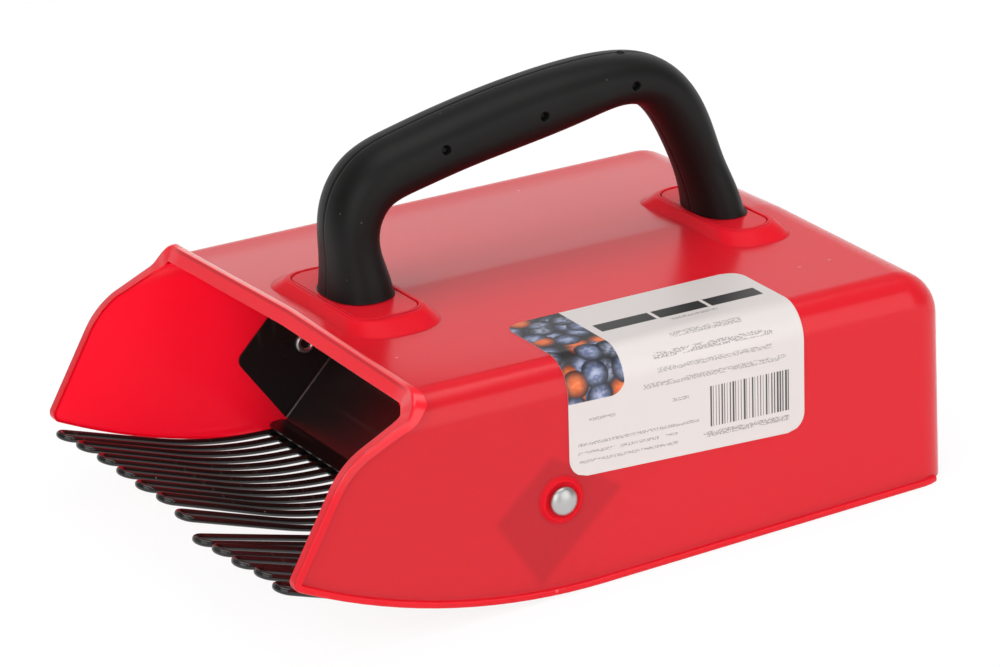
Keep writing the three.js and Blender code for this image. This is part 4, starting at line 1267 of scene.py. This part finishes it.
# Rivets: domed head outside, rolled hollow end inside
def rivetRows(size, stack, steps):
    roll, bore, height = size * rivet["roll"], size * rivet["bore"], size * rivet["rollHeight"]
    middle, thick = (roll + bore) / 2, (roll - bore) / 2
    profile = [(0.01, 1.4 - stack), (bore * 0.9, 1.3 - stack), (bore, 0.6 - stack)]
    profile += [(middle - thick * cos(t), -stack - height * sin(t))
                for t in np.linspace(0, pi, 11)]
    shank, head, foot = size * rivet["shank"], size * rivet["head"], rivet["headFoot"]
    profile += [(shank, 0.05 - stack), (shank, foot / 2), (head * 0.96, foot / 2)]
    dome = size * rivet["headHeight"]
    profile += [(max(head * a, 0.01), foot + dome * b) for a, b in arc(0, 0, 1, 0, 90, 10)]
    return turnedProfile(profile, steps)


def makeRivets():
    steel = floorSheet["gap"] + floorSheet["sheet"]
    rearY, rearZ = rearFaceY(rearFloorZ) + steel, rearFloorZ + rivet["rearUp"]
    sideRows = rivetRows(1.0, hood["wall"] + steel + rivet["bossHeight"], 40)
    rearRows = rivetRows(rivet["rearShare"], hood["wall"] + steel, 28)
    for name, side in (("left", 1), ("right", -1)):
        body = Skins()
        body.addTube(sideways(sideRows, side, hood["halfWidth"] + rivet["bossHeight"]))
        buildPiece("sideRivet_" + name, body, "bright", "bright_steel", "side_rivet_" + name)
    for name, side in (("left", 1), ("right", -1)):
        body = Skins()
        body.addTube(np.stack([side * rivet["rearX"] + rearRows[..., 0], rearY + rearRows[..., 2],
                               rearZ - rearRows[..., 1]], axis=-1))
        buildPiece("rearRivet_" + name, body, "bright", "bright_steel", "rear_rivet_" + name)


makeRivets()
print("rivets made")


# Label: film wrapped over the top edge on the labelled side
label = {"front": 93.0, "rear": 175.3, "bottom": 35.8, "topX": 48.5, "radius": 6.0, "lift": 0.16,
         "thickness": 0.14}


def labelRise(y):
    return topZ(y) - hood["crownDrop"] - hood["edgeRadius"] - label["bottom"]


def labelPoint(y, s):
    # Point on the hood and its normal: s runs from the label's bottom edge up the side wall and over the top
    radius, rise = hood["edgeRadius"], labelRise(y)
    arcLength = radius * pi / 2
    if s < rise:
        return (hood["halfWidth"], y, label["bottom"] + s), (1, 0, 0)
    if s < rise + arcLength:
        out, up = cos((s - rise) / radius), sin((s - rise) / radius)
        point = (flatHalf + radius * out, y, label["bottom"] + rise + radius * up)
        return point, (out, topUp[1] * up, topUp[2] * up)
    x = flatHalf - (s - rise - arcLength)
    return (x, y, topZ(y) - crownFall(x)), (sin(crownAngle), topUp[1], topUp[2])


def makeLabel():
    front, rear, corner = label["front"], label["rear"], label["radius"]
    length = lambda y: labelRise(y) + hood["edgeRadius"] * pi / 2 + flatHalf - label["topX"]
    middleLength = length((front + rear) / 2)
    columns = [*np.linspace(0, 0.1, 9), *np.linspace(0.1, 0.9, 40)[1:], *np.linspace(0.9, 1, 9)[1:]]
    rows, normals, prints = [], [], []
    for share in columns:
        # Both ends are cut back round the rounded corners
        fromCorner = max(corner - min(share, 1 - share) * middleLength, 0.0)
        cut = corner - sqrt(corner ** 2 - fromCorner ** 2)
        ys = np.linspace(front + cut, rear - cut, 25)
        row = [labelPoint(y, share * length(y)) for y in ys]
        rows.append([np.array(point) + np.array(normal) * label["lift"] for point, normal in row])
        normals.append([normal for _, normal in row])
        prints += [((y - front) / (rear - front), share) for y in ys]
    film = Skins()
    film.addSheet(rows, label["thickness"], np.array(normals), prints)
    buildPiece("labelFilm", film, "label", "label", "label", isPrinted=True)


makeLabel()
print("label made")

for name in ("handle_screw_front", "handle_screw_rear"):
    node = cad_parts[name]
    node.data.materials.clear()
    node.data.materials.append(materials["bright"])


# Stage and lights
studio = {
    "floorTone": (0.92, 0.92, 0.92, 1),
    "mottling": (4.0, 0.02),
    "floorHalf": 6.0,
    "floorDrop": 0.0003,
    "floorGlow": 0.84,
    "glowStrength": 1.04,
    "world": 0.45,
    "backdrop": 0.86,
    "room": 0.22,
    "backdropWay": (-0.89, 0.45, 0.0),
    "backdropEdge": (0.1, 0.75),
    "backdropHead": (0.75, 0.2),
    "aim": (0, 0, 0.03),
}
# Lamps, as place, size and power
lamps = {
    "key": ((1.2, -1.3, 0.9), 1.8, 16.4),
    "fill": ((1.6, 0.6, 0.7), 1.5, 11),
    "top": ((0.05, 0.1, 1.5), 1.2, 9.2),
    "spark": ((0.95, -1.25, 1.3), 0.12, 0.8),
}


def mixShaders(nodes, factor, first, second):
    return nodes.add("MixShader", {0: factor, 1: first.outputs[0], 2: second.outputs[0]})


def addStage():
    mesh = bpy.data.meshes.new("floor")
    half = studio["floorHalf"]
    corners = [(-half, -half, 0), (half, -half, 0), (half, half, 0), (-half, half, 0)]
    mesh.from_pydata(corners, [], [(0, 1, 2, 3)])
    floor = addObject("floor", mesh)
    floor.location.z = -studio["floorDrop"]
    material = bpy.data.materials.new("studioFloor")
    material.use_nodes = True
    material.node_tree.nodes.clear()
    nodes = Nodes(material.node_tree)
    tone = nodes.effect(mottle, nodes.add("TexCoord").outputs["Object"], *studio["mottling"])
    matt = nodes.add("BsdfDiffuse", {"Color": nodes.dim(studio["floorTone"], tone)})
    glow = nodes.add("Emission", {"Color": (1, 1, 1, 1), "Strength": studio["glowStrength"]})
    path = nodes.add("LightPath").outputs
    seen = nodes.math("MAXIMUM", path["Is Camera Ray"], path["Is Glossy Ray"])
    mixed = mixShaders(nodes, nodes.times(seen, studio["floorGlow"]), matt, glow)
    nodes.add("OutputMaterial", {"Surface": mixed.outputs[0]})
    mesh.materials.append(material)


def addWorld():
    world = bpy.data.worlds.new("studioWorld")
    world.use_nodes = True
    world.node_tree.nodes.clear()
    nodes = Nodes(world.node_tree)
    # Reflections see a white backdrop behind the rake and a dim room in front and above
    way = nodes.add("TexCoord").outputs["Generated"]
    facing = nodes.add("VectorMath", {0: way, 1: studio["backdropWay"]}, operation="DOT_PRODUCT")
    height = nodes.add("SeparateXYZ", {"Vector": way}).outputs[2]
    backdrop = nodes.times(nodes.fade(facing.outputs["Value"], *studio["backdropEdge"]),
                           nodes.fade(height, *studio["backdropHead"]))
    mirrored = nodes.scaleAdd(backdrop, studio["backdrop"] - studio["room"], studio["room"])
    plain, reflected, white = (nodes.add("Background", {"Color": (1, 1, 1, 1), "Strength": strength})
                               for strength in (studio["world"], mirrored, 1.0))
    path = nodes.add("LightPath").outputs
    lit = mixShaders(nodes, path["Is Glossy Ray"], plain, reflected)
    seen = mixShaders(nodes, path["Is Camera Ray"], lit, white)
    nodes.add("OutputWorld", {"Surface": seen.outputs[0]})
    bpy.context.scene.world = world


def addLamp(name, place, size, power):
    data = bpy.data.lights.new(name, "AREA")
    data.shape = "SQUARE"
    data.size = size
    data.energy = power
    lamp = addObject(name, data)
    lamp.location = place
    lamp.rotation_euler = (Vector(studio["aim"]) - Vector(place)).to_track_quat("-Z", "Y").to_euler()


addStage()
addWorld()
for name, setup in lamps.items():
    addLamp(name, *setup)
bpy.context.scene.view_settings.view_transform = "Standard"
print("studio set")
